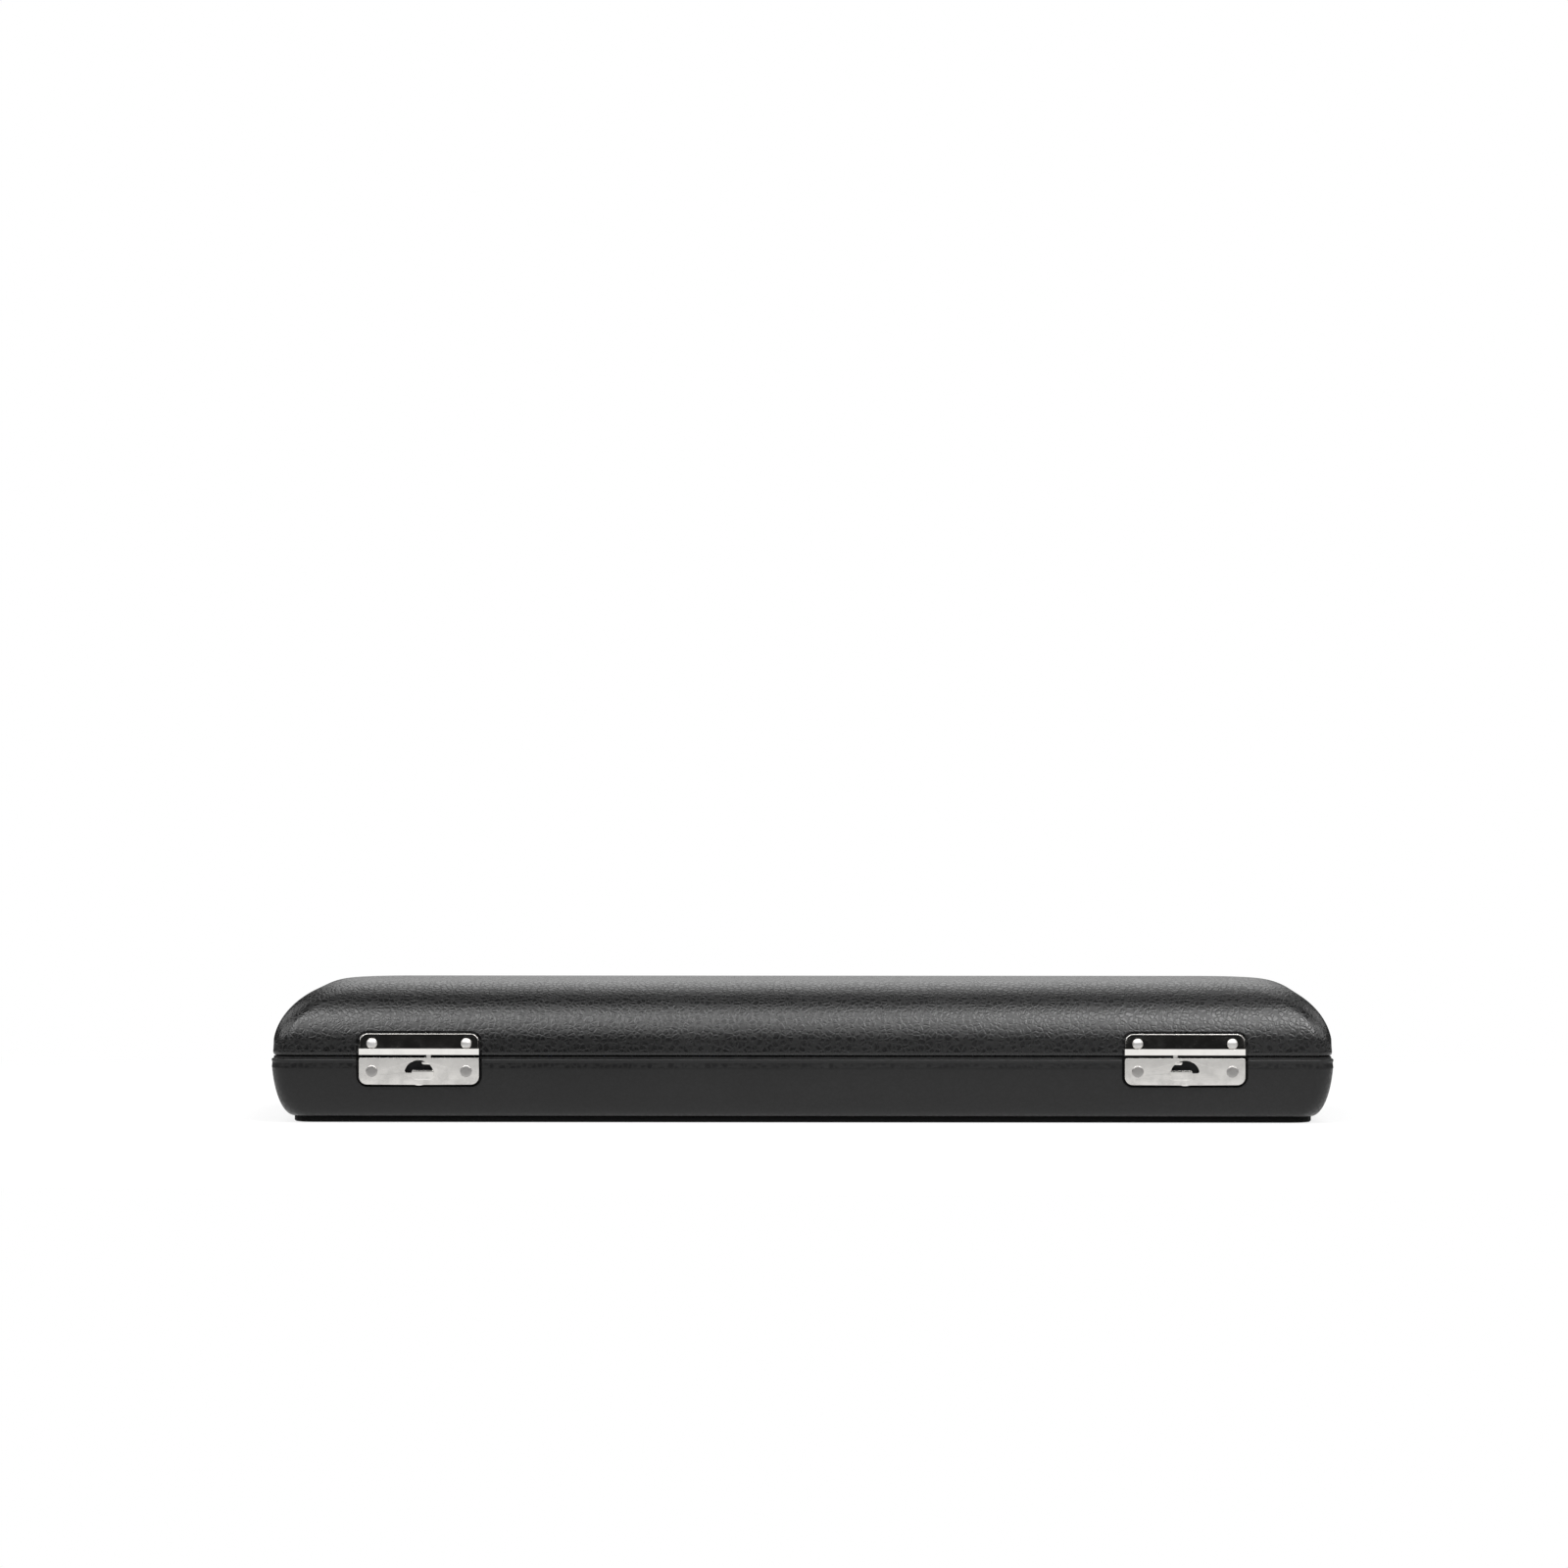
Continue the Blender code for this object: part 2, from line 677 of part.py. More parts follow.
def bed(shop):
    """The fitted bed: rails, end blocks, dividers and saddles round four places."""
    front = -BED_HALF_DEPTH
    depth = 2 * BED_HALF_DEPTH
    joint_front = front + depth * BED_SHARES["front_rail"]
    joint_back = joint_front + depth * BED_SHARES["joint_channel"]
    rod_front = joint_back + depth * BED_SHARES["centre_rail"]
    rod_back = rod_front + depth * BED_SHARES["rod_channel"]
    left = -BED_HALF_LENGTH + END_BLOCK + SEAT_GAP
    right = -left
    shop.part(
        long_rail("bed_front_rail", front, joint_front, left, right), "plush"
    )
    shop.part(
        long_rail("bed_centre_rail", joint_back, rod_front, left, right), "plush"
    )
    shop.part(
        long_rail("bed_rear_rail", rod_back, BED_HALF_DEPTH, left, right), "plush"
    )
    for name, sign in (("left", -1), ("right", 1)):
        shop.part(end_block(f"bed_end_block_{name}", sign), "plush")
    joint_walls = (joint_front + SEAT_GAP, joint_back - SEAT_GAP)
    rod_walls = (rod_front + SEAT_GAP, rod_back - SEAT_GAP)
    joint_split = left + (right - left) * PLACE_SHARES["body_joint"]
    rod_split = left + (right - left) * PLACE_SHARES["rod"]
    divider = cross_block(
        "bed_joint_divider", joint_split, joint_split + DIVIDER, *joint_walls, BED_TOP
    )
    shop.part(divider, "plush")
    divider = cross_block(
        "bed_pocket_divider", rod_split, rod_split + DIVIDER, *rod_walls, BED_TOP
    )
    shop.part(divider, "plush")
    for name, start, end, walls, notch in (
        ("body", left, joint_split, joint_walls, JOINT_NOTCH_RADIUS),
        ("head", joint_split + DIVIDER, right, joint_walls, JOINT_NOTCH_RADIUS),
        ("rod", left, rod_split, rod_walls, ROD_NOTCH_RADIUS),
    ):
        inset = (end - start) * PLACE_SHARES["saddle"]
        for part, place in (("left", start + inset), ("right", end - inset)):
            shop.part(saddle(f"bed_saddle_{name}_{part}", place, *walls, notch), "plush")


def lid_leather():
    """The covering of the lid, under its rim and in to the inner wall."""
    half_round = RIM_EDGE_ROUND * (1 - math.sqrt(0.5))
    outside = list(reversed(lid_side(0)))
    edge = [
        lid_level(0, LID_LOW + RIM_EDGE_ROUND),
        lid_level(half_round, LID_LOW + half_round),
        lid_level(RIM_EDGE_ROUND, LID_LOW),
        lid_level(LID_INNER_INSET, LID_LOW, INNER_CORNER),
        lid_level(LID_INNER_INSET, LID_LOW + LEATHER, INNER_CORNER),
        lid_level(LEATHER, LID_LOW + LEATHER),
    ]
    return loft("lid_leather", outside + edge + lid_side(LEATHER))


def lid_inner_side():
    """Rings up the inside of the lid, from its straight wall to its ceiling."""
    reach = LID_ROUND_ACROSS - LID_INNER_INSET
    rise = LID_ROUND_HEIGHT - COVER - CEILING
    rings = []
    for step in range(1, LID_ROUND_STEPS + 1):
        turn = math.pi / 2 * step / LID_ROUND_STEPS
        inset = LID_ROUND_ACROSS - reach * math.cos(turn)
        corner = lid_corner(INNER_CORNER, inset - LID_INNER_INSET)
        rings.append(lid_level(inset, LID_ROUND_START + rise * math.sin(turn), corner))
    return rings


def lid_shell():
    """The board carcass of the lid."""
    rim = LID_LOW + COVER
    outside = list(reversed(lid_side(COVER)[1:]))
    walls = [
        lid_level(COVER, rim),
        lid_level(LID_INNER_INSET, rim, INNER_CORNER),
    ]
    return loft("lid_shell", outside + walls + lid_inner_side())


def lid_inner_inset(height, offset):
    """How far the inside of the lid is drawn in at a height, less an offset."""
    reach = LID_ROUND_ACROSS - LID_INNER_INSET - offset
    rise = LID_ROUND_HEIGHT - COVER - CEILING - offset
    share = min(max(height - LID_ROUND_START, 0) / rise, 1)
    return LID_ROUND_ACROSS - reach * math.sqrt(1 - share * share)


def lid_lining():
    """The covered board round the inside of the lid, over the valance."""
    rise = (LINING_TOP - LINING_LOW) / ARC_STEPS
    heights = [LINING_LOW + rise * step for step in range(ARC_STEPS + 1)]
    levels = [(SEAT_GAP, z) for z in heights]
    levels += [(SEAT_GAP + LID_LINING, z) for z in reversed(heights)]
    rings = []
    for offset, height in levels:
        inset = lid_inner_inset(height, offset)
        corner = lid_corner(INNER_CORNER, inset - offset - LID_INNER_INSET)
        rings.append(lid_level(inset, height, corner))
    return loft("lid_lining", rings, closed=True)


def lid_pad():
    """The soft pad under the ceiling of the lid, fullest in its middle."""
    rings = []
    for step in range(ARC_STEPS + 1):
        height = PAD_CEILING - (PAD_CEILING - PAD_EDGE) * (step / ARC_STEPS) ** 2
        inset = lid_inner_inset(height, SEAT_GAP)
        corner = lid_corner(PLAN_CORNER, inset - LID_INNER_INSET)
        rings.append(lid_level(inset, height, corner))
    side = lid_inner_inset(PAD_EDGE, SEAT_GAP)
    corner = lid_corner(PLAN_CORNER, side - LID_INNER_INSET)
    half_depth = CASE_DEPTH / 2 - LID_SETBACK - side
    for share, fall in PAD_CROWN_SHARES:
        inset = side + half_depth * share
        rings.append(lid_level(inset, PAD_EDGE - PAD_CROWN * fall, corner))
    return loft("lid_pad", rings)


def window_outline():
    """The half-moon window of a latch, in u and height: a flat bottom under an arch."""
    turns = [math.pi * step / WINDOW_STEPS for step in range(WINDOW_STEPS + 1)]
    half, rise = WINDOW_HALF_WIDTH, WINDOW_HEIGHT
    return [(half * math.cos(t), WINDOW_BOTTOM + rise * math.sin(t)) for t in turns]


def latch_outline():
    """The outline of a latch case, in u and height, with the small nub under its middle."""
    half = LATCH_WIDTH / 2
    points = rounded_outline(-half, LATCH_BOTTOM, half, LATCH_TOP, LATCH_CORNER, PLATE_EDGE)
    turns = [math.pi * step / NUB_STEPS for step in range(1, NUB_STEPS)]
    nub = [(-NUB_WIDTH / 2 * math.cos(t), LATCH_BOTTOM - NUB_DROP * math.sin(t)) for t in turns]
    bottom_start = 3 * (ARC_STEPS + 1)
    return points[:bottom_start] + nub + points[bottom_start:]


def front_plate(name, outlines, outer, inner):
    """A plate that faces the front, between two distances from the middle of the case."""
    return plate(name, outlines, outer - inner, (0, -(outer + inner) / 2, 0))


def rivet_places():
    """The two rivets of a latch, in u."""
    return (-RIVET_SPACING / 2, RIVET_SPACING / 2)


def latch_case(shop, side):
    """The stamped case of a latch: a front with its window and walls on three sides."""
    holes = [
        circle(u, CASE_RIVET_HEIGHT, RIVET_SHANK + RIVET_PLAY) for u in rivet_places()
    ]
    outlines = [across(side, line) for line in [latch_outline(), window_outline(), *holes]]
    back = LATCH_SEAT + SEAT_GAP
    case = front_plate(f"latch_case_{side[0]}", outlines, CASE_FRONT, back)
    half = LATCH_WIDTH / 2 - CASE_WALL
    low = LATCH_BOTTOM + CASE_WALL
    room = rounded_outline(
        -half, low, half, LATCH_TOP + CUT_OVERRUN, LATCH_CORNER - CASE_WALL, 0
    )
    name = f"latch_room_{side[0]}"
    cutter = front_plate(name, [across(side, room)], CASE_INNER, back - CUT_OVERRUN)
    shop.cut(shop.part(case, "nickel"), shop.tool(cutter))


def latch_back_plate(shop, side):
    """The plate behind the slider, with the post that its spring leans on."""
    half = LATCH_WIDTH / 2 - CASE_WALL - SEAT_GAP
    low = LATCH_BOTTOM + CASE_WALL + SEAT_GAP
    corner = LATCH_CORNER - CASE_WALL - SEAT_GAP
    edge = rounded_outline(-half, low, half, LATCH_TOP - SEAT_GAP, corner, PLATE_EDGE)
    holes = [
        circle(u, CASE_RIVET_HEIGHT, RIVET_SHANK + RIVET_PLAY) for u in rivet_places()
    ]
    outlines = [across(side, line) for line in [edge, *holes]]
    back = BACK_PLATE_FRONT - BACK_PLATE
    body = front_plate(f"latch_back_plate_{side[0]}", outlines, BACK_PLATE_FRONT, back)
    post_right = -SLIDER_TAIL - SPRING_ROOM
    post_left = post_right - SPRING_POST
    left, right = sorted(x for x, height in across(side, [(post_left, 0), (post_right, 0)]))
    post = box(
        f"spring_post_{side[0]}",
        (left, -SLIDER_FRONT, BAND_LOW),
        (right, -(BACK_PLATE_FRONT - BACK_PLATE / 2), BAND_LOW + BAND_HEIGHT),
    )
    shop.join(shop.part(body, "nickel"), shop.tool(post))


def latch_slider(shop, side, slide):
    """The slider: a nose over the hook's barb, and a thumb tab through the window."""
    nose_end = TONGUE_INNER_EDGE - SEAT_GAP
    nose_top = NOSE_LOW + NOSE_HEIGHT
    band_top = BAND_LOW + BAND_HEIGHT
    arm_right = ARM_WIDTH - SLIDER_TAIL
    edge = [
        (-SLIDER_TAIL, BAND_LOW),
        (STEM_RIGHT, BAND_LOW),
        (STEM_RIGHT, TAB_TOP),
        (-STEM_LEFT, TAB_TOP),
        (-STEM_LEFT, band_top),
        (arm_right, band_top),
        (arm_right, NOSE_LOW),
        (nose_end, NOSE_LOW),
        (nose_end, nose_top - NOSE_BEVEL),
        (nose_end - NOSE_BEVEL, nose_top),
        (-SLIDER_TAIL, nose_top),
    ]
    name = side[0]
    slider = front_plate(f"latch_slider_{name}", [across(side, edge)], SLIDER_FRONT, SLIDER_BACK)
    face = rounded_outline(-STEM_LEFT, TAB_LOW, TAB_RIGHT, TAB_TOP, TAB_CORNER, PLATE_EDGE)
    tab_back = LATCH_REACH - TAB_PLATE
    tab = front_plate(f"thumb_tab_{name}", [across(side, face)], LATCH_REACH, tab_back)
    inset = STEM_THICKNESS / 2
    ends = across(side, [(inset - STEM_LEFT, 0), (STEM_RIGHT - inset, 0)])
    left, right = sorted(x for x, height in ends)
    stem = box(
        f"thumb_stem_{name}",
        (left, -tab_back - STEM_BITE, STEM_TOP - STEM_THICKNESS),
        (right, -SLIDER_FRONT + STEM_BITE, STEM_TOP),
    )
    shop.part(slider, "nickel", slide)
    shop.join(slider, shop.tool(stem), shop.tool(tab))


def tube(name, points, radius, resolution):
    """A round wire through points, with closed ends."""
    curve = bpy.data.curves.new(name, "CURVE")
    curve.dimensions = "3D"
    curve.bevel_depth = radius
    curve.bevel_resolution = resolution
    curve.use_fill_caps = True
    spline = curve.splines.new("POLY")
    spline.points.add(len(points) - 1)
    for point, place in zip(spline.points, points):
        point.co = (*place, 1)
    return as_mesh(bpy.data.objects.new(name, curve))


def latch_spring(shop, side):
    """The flat zigzag wire spring between the post and the slider's tail."""
    name, place, sign = side
    start = -SLIDER_TAIL - RIVET_GAP
    end = -SLIDER_TAIL - SPRING_ROOM + RIVET_GAP
    middle = BAND_LOW + BAND_HEIGHT / 2
    depth = -(SLIDER_FRONT + SLIDER_BACK) / 2
    count = SPRING_LIMBS * SPRING_POINTS_PER_LIMB
    points = []
    for step in range(count + 1):
        share = step / count
        swing = SPRING_HALF_SWING * math.sin(math.pi * SPRING_LIMBS * share)
        u = start + (end - start) * share
        points.append((place + sign * u, depth, middle + swing))
    spring = tube(f"latch_spring_{name}", points, SPRING_WIRE_RADIUS, 1)
    shop.part(spring, "spring_steel")


def rivet(name, head, rise, shank_length, place, turn):
    """A domed rivet; turn is the angle about X that points its head from +Z outwards."""
    turns = [math.pi / 2 * step / ARC_STEPS for step in range(1, ARC_STEPS)]
    profile = [(0, rise)]
    profile += [(head * math.sin(t), rise * math.cos(t)) for t in turns]
    profile += [(head, 0), (RIVET_SHANK, 0), (RIVET_SHANK, -shank_length), (0, -shank_length)]
    obj = turned(name, profile, RIVET_STEPS)
    obj.location = place
    obj.rotation_euler = (turn, 0, 0)
    return obj


def drill(name, place, turn, depth):
    """A cylinder that drills a rivet's hole, from outside a place to a depth under it."""
    bm = bmesh.new()
    radius = RIVET_SHANK + RIVET_PLAY
    length = depth + CUT_OVERRUN
    middle = Matrix.Translation((0, 0, CUT_OVERRUN - length / 2))
    bmesh.ops.create_cone(
        bm,
        cap_ends=True,
        segments=RIVET_STEPS,
        radius1=radius,
        radius2=radius,
        depth=length,
        matrix=middle,
    )
    obj = mesh_object(name, bm)
    obj.location = place
    obj.rotation_euler = (turn, 0, 0)
    return obj


def hook_tilt():
    """How far the lid's latch plates lean back: as the side of the lid does behind them."""
    share = (HOOK_PLATE_TOP - LID_ROUND_START) / LID_ROUND_HEIGHT
    drawn_in = LID_ROUND_ACROSS * (1 - math.sqrt(1 - share * share))
    return math.atan2(drawn_in, HOOK_PLATE_TOP - LID_ROUND_START)


HOOK_PLATE_TILT = hook_tilt()
TILTED_FRONT = (math.pi / 2 - HOOK_PLATE_TILT, 0, 0)


def hook_place(side, u, height, depth):
    """A point on a lid latch plate: u, height over the stand, and depth behind its front."""
    rise = (height - LIP_LOW) / math.cos(HOOK_PLATE_TILT)
    inward = Vector((0, math.cos(HOOK_PLATE_TILT), -math.sin(HOOK_PLATE_TILT)))
    upward = Vector((0, math.sin(HOOK_PLATE_TILT), math.cos(HOOK_PLATE_TILT)))
    root = Vector((side[1] + side[2] * u, -HOOK_PLATE_FRONT, LIP_LOW))
    return root + upward * rise + inward * depth


def hook_length(height):
    """How far up the tilted plate a height lies."""
    return (height - LIP_LOW) / math.cos(HOOK_PLATE_TILT)


def edge_roll(side):
    """The rolled rim round the top of a lid latch plate."""
    half = LATCH_WIDTH / 2 - ROLL_RADIUS - ROLL_INSET
    high = hook_length(HOOK_PLATE_TOP) - ROLL_RADIUS
    corner = HOOK_PLATE_CORNER - ROLL_RADIUS
    points = [(half, ROLL_START)]
    points += arc(half - corner, high - corner, corner, 0, 90)
    points += arc(corner - half, high - corner, corner, 90, 180)
    points += [(-half, ROLL_START)]
    upward = Vector((0, math.sin(HOOK_PLATE_TILT), math.cos(HOOK_PLATE_TILT)))
    root = hook_place(side, 0, LIP_LOW, ROLL_DEPTH)
    places = [root + upward * rise + Vector((side[2] * u, 0, 0)) for u, rise in points]
    return tube(f"hook_roll_{side[0]}", places, ROLL_RADIUS, 1)


def latch_hook_plate(shop, side, lid_axis):
    """The lid's latch plate: leaning with the lid, with a lip, a rolled rim and the hook."""
    name = side[0]
    half = LATCH_WIDTH / 2 - ROLL_RADIUS - ROLL_INSET
    high = hook_length(HOOK_PLATE_TOP) - ROLL_RADIUS
    corner = HOOK_PLATE_CORNER - ROLL_RADIUS
    edge = rounded_outline(-half, PLATE_EDGE, half, high, 0, corner)
    radius = RIVET_SHANK + RIVET_PLAY
    holes = [circle(u, hook_length(HOOK_RIVET_HEIGHT), radius) for u in rivet_places()]
    place = hook_place(side, 0, LIP_LOW, HOOK_PLATE / 2)
    body = plate(
        f"latch_hook_plate_{name}", [edge, *holes], HOOK_PLATE, place, TILTED_FRONT
    )
    left, right = side[1] - LATCH_WIDTH / 2, side[1] + LATCH_WIDTH / 2
    lip_back = CASE_FRONT - LIP_DEPTH
    lip = box(
        f"hook_lip_{name}",
        (left, -CASE_FRONT, LIP_LOW),
        (right, -lip_back, LIP_LOW + LIP_HEIGHT),
    )
    bevel = lip.modifiers.new("edges", "BEVEL")
    bevel.width = LIP_EDGE_ROUND
    bevel.segments = 2
    barb_end = TONGUE_INNER_EDGE - BARB_LENGTH
    hook = [
        (barb_end, BARB_TOP),
        (barb_end, TONGUE_LOW + BARB_BEVEL),
        (barb_end + BARB_BEVEL, TONGUE_LOW),
        (TONGUE_EDGE - BARB_BEVEL, TONGUE_LOW),
        (TONGUE_EDGE, TONGUE_LOW + BARB_BEVEL),
        (TONGUE_EDGE, TONGUE_ROOT),
        (TONGUE_INNER_EDGE, TONGUE_ROOT),
        (TONGUE_INNER_EDGE, BARB_TOP),
    ]
    tongue = front_plate(f"hook_tongue_{name}", [across(side, hook)], SLIDER_FRONT, SLIDER_BACK)
    shop.part(body, "nickel", lid_axis)
    tools = [shop.tool(piece) for piece in (lip, edge_roll(side), tongue)]
    shop.join(body, *tools)


def leaf_outline(middle_x, sign, necks):
    """The outline of a hinge leaf in X and height, with necks up to its knuckles.

    The sign is 1 for the lid's leaf, over the axis, and -1 for the base's, under it.
    """
    half = HINGE_WIDTH / 2
    far = arc(half - LEAF_CORNER, LEAF_HEIGHT - LEAF_CORNER, LEAF_CORNER, 0, 90)
    far += arc(LEAF_CORNER - half, LEAF_HEIGHT - LEAF_CORNER, LEAF_CORNER, 90, 180)
    shoulder = KNUCKLE_REACH
    bite = KNUCKLE_RADIUS / 3
    points = far + [(-half, shoulder + PLATE_EDGE)]
    for left, right in necks:
        left, right = left + PLATE_EDGE, right - PLATE_EDGE
        points += [(left, shoulder), (left, bite), (right, bite), (right, shoulder)]
    points.append((half, shoulder + PLATE_EDGE))
    return [(middle_x + x, PARTING_MIDDLE + sign * height) for x, height in points]


def hinge_leaf(shop, name, middle_x, sign, necks):
    """A hinge leaf with its rivet holes, its knuckles and the bore for the pin."""
    height = PARTING_MIDDLE + sign * HINGE_RIVET_OFFSET
    spread = HINGE_RIVET_SPACING / 2
    radius = RIVET_SHANK + RIVET_PLAY
    holes = [circle(middle_x + x, height, radius) for x in (-spread, spread)]
    outlines = [leaf_outline(middle_x, sign, necks), *holes]
    place = (0, (LEAF_INNER + LEAF_OUTER) / 2, 0)
    leaf = plate(name, outlines, HINGE_LEAF, place)
    for number, (left, right) in enumerate(necks):
        start = (middle_x + left, HINGE_AXIS_Y, PARTING_MIDDLE)
        end = (middle_x + right, HINGE_AXIS_Y, PARTING_MIDDLE)
        knuckle = rod(f"{name}_knuckle_{number}", KNUCKLE_RADIUS, start, end, KNUCKLE_STEPS)
        shop.join(leaf, shop.tool(knuckle))
    return leaf


def stop_spur(name, middle_x):
    """The spur on the lid's knuckle that meets the base's leaf when the lid is fully open."""
    face = LEAF_OUTER - HINGE_AXIS_Y + STOP_PLAY
    lean = OPEN_ANGLE - math.pi / 2
    reach = (STOP_REACH + face * math.sin(lean)) / math.cos(lean)
    half = LID_KNUCKLE / 2 - STOP_THICKNESS / 2
    low = (-half, face, -reach)
    high = (half, face + STOP_THICKNESS, -PIN_RADIUS - PIN_PLAY * 2)
    bm = bmesh.new()
    size = Vector(high) - Vector(low)
    middle = (Vector(low) + Vector(high)) / 2
    place = Matrix.Translation(middle) @ Matrix.Diagonal((*size, 1))
    bmesh.ops.create_cube(bm, size=1, matrix=place)
    spur = mesh_object(name, bm)
    spur.location = (middle_x, HINGE_AXIS_Y, PARTING_MIDDLE)
    spur.rotation_euler = (OPEN_ANGLE, 0, 0)
    return spur


def hinge(shop, name, middle_x, lid_axis):
    """One hinge: a leaf on the base, a leaf on the lid and the pin through their knuckles."""
    half = HINGE_WIDTH / 2
    middle = LID_KNUCKLE / 2
    outer = middle + SEAT_GAP
    base_leaf = hinge_leaf(
        shop, f"hinge_base_leaf_{name}", middle_x, -1, [(-half, -outer), (outer, half)]
    )
    lid_leaf = hinge_leaf(
        shop, f"hinge_lid_leaf_{name}", middle_x, 1, [(-middle, middle)]
    )
    shop.part(base_leaf, "nickel")
    shop.part(lid_leaf, "nickel", lid_axis)
    shop.join(lid_leaf, shop.tool(stop_spur(f"stop_spur_{name}", middle_x)))
    start = (middle_x - half, HINGE_AXIS_Y, PARTING_MIDDLE)
    end = (middle_x + half, HINGE_AXIS_Y, PARTING_MIDDLE)
    past = Vector((CUT_OVERRUN, 0, 0))
    bore = rod(
        f"pin_bore_{name}",
        PIN_RADIUS + PIN_PLAY,
        Vector(start) - past,
        Vector(end) + past,
        KNUCKLE_STEPS,
    )
    shop.tool(bore)
    shop.cut(base_leaf, bore)
    shop.cut(lid_leaf, bore)
    shop.part(rod(f"hinge_pin_{name}", PIN_RADIUS, start, end, KNUCKLE_STEPS), "nickel")


def latch_rivets(shop, side, lid_axis):
    """The rivets of one latch, and the drills for their holes in the base and in the lid."""
    front = math.pi / 2
    tilted = front - HOOK_PLATE_TILT
    base_drills, lid_drills = [], []
    for number, u in enumerate(rivet_places(), 1):
        label = f"{side[0]}_{number}"
        place = (side[1] + side[2] * u, -CASE_FRONT - RIVET_GAP, CASE_RIVET_HEIGHT)
        shank = CASE_FRONT + RIVET_GAP - LATCH_SEAT + RIVET_GRIP
        name = f"latch_case_rivet_{label}"
        piece = rivet(name, CASE_RIVET_HEAD, RIVET_HEAD_RISE, shank, place, front)
        shop.part(piece, "nickel")
        base_drills.append(drill("drill", place, front, shank + RIVET_PLAY))
        place = hook_place(side, u, HOOK_RIVET_HEIGHT, -RIVET_GAP)
        shank = RIVET_GAP + HOOK_PLATE + SEAT_GAP + RIVET_GRIP
        name = f"latch_hook_rivet_{label}"
        piece = rivet(name, HOOK_RIVET_HEAD, HOOK_RIVET_RISE, shank, place, tilted)
        shop.part(piece, "nickel", lid_axis)
        lid_drills.append(drill("drill", place, tilted, shank + RIVET_PLAY))
    return base_drills, lid_drills


def hinge_rivets(shop, name, middle_x, half, parent):
    """The two rivets of a hinge leaf, on the base or on the lid, and the drills for them."""
    sign = 1 if half == "lid" else -1
    back = -math.pi / 2
    shank = RIVET_GAP + HINGE_LEAF + SEAT_GAP + RIVET_GRIP
    height = PARTING_MIDDLE + sign * HINGE_RIVET_OFFSET
    drills = []
    for number, spread in enumerate((-HINGE_RIVET_SPACING / 2, HINGE_RIVET_SPACING / 2), 1):
        place = (middle_x + spread, LEAF_OUTER + RIVET_GAP, height)
        label = f"hinge_{half}_rivet_{name}_{number}"
        piece = rivet(label, HINGE_RIVET_HEAD, RIVET_HEAD_RISE, shank, place, back)
        shop.part(piece, "nickel", parent)
        drills.append(drill("drill", place, back, shank + RIVET_PLAY))
    return drills


def hinge_sides():
    """The two hinges: name and place along X."""
    return (("left", -HINGE_SPACING / 2), ("right", HINGE_SPACING / 2))


def hinge_seat(middle_x, low, high):
    """A block that cuts the seat of a hinge leaf out of the back, between two heights."""
    half = HINGE_WIDTH / 2 + SEAT_MARGIN
    outer = CASE_DEPTH / 2 + CUT_OVERRUN
    return box("seat", (middle_x - half, HINGE_SEAT, low), (middle_x + half, outer, high))


def base_seats():
    """What is cut out of the base for the latches and the hinges."""
    seats = []
    half = LATCH_WIDTH / 2 + SEAT_MARGIN
    high = RIM_HEIGHT + CUT_OVERRUN
    low = LATCH_BOTTOM - SEAT_MARGIN
    edge = rounded_outline(-half, low, half, high, LATCH_CORNER + SEAT_MARGIN, 0)
    outer = CASE_DEPTH / 2 + CUT_OVERRUN
    for side in latch_sides():
        seats.append(front_plate("seat", [across(side, edge)], outer, LATCH_SEAT))
    for _, middle_x in hinge_sides():
        low = PARTING_MIDDLE - LEAF_HEIGHT - SEAT_MARGIN
        seats.append(hinge_seat(middle_x, low, high))
    return gather("base_seats", seats)


def lid_seats():
    """What is cut out of the lid for the latch plates, their hooks and the hinges."""
    flat_seats, deep_seats = [], []
    half = LATCH_WIDTH / 2 + SEAT_MARGIN
    high = hook_length(HOOK_PLATE_TOP) + SEAT_MARGIN
    edge = rounded_outline(-half, -CUT_OVERRUN, half, high, 0, HOOK_PLATE_CORNER + SEAT_MARGIN)
    depth = HOOK_PLATE + SEAT_GAP
    for side in latch_sides():
        place = hook_place(side, 0, LIP_LOW, depth - CUT_OVERRUN / 2)
        flat_seats.append(plate("seat", [edge], CUT_OVERRUN, place, TILTED_FRONT))
        ends = (TONGUE_INNER_EDGE - SEAT_MARGIN, TONGUE_EDGE + SEAT_MARGIN)
        left, right = sorted(side[1] + side[2] * u for u in ends)
        front = -CASE_DEPTH / 2 - CUT_OVERRUN
        back = -SLIDER_BACK + SEAT_GAP
        top = TONGUE_ROOT + SEAT_MARGIN
        low = LID_LOW - CUT_OVERRUN
        deep_seats.append(box("seat", (left, front, low), (right, back, top)))
    for _, middle_x in hinge_sides():
        low = LID_LOW - CUT_OVERRUN
        top = PARTING_MIDDLE + LEAF_HEIGHT + SEAT_MARGIN
        deep_seats.append(hinge_seat(middle_x, low, top))
    return gather("lid_flat_seats", flat_seats), gather("lid_deep_seats", deep_seats)


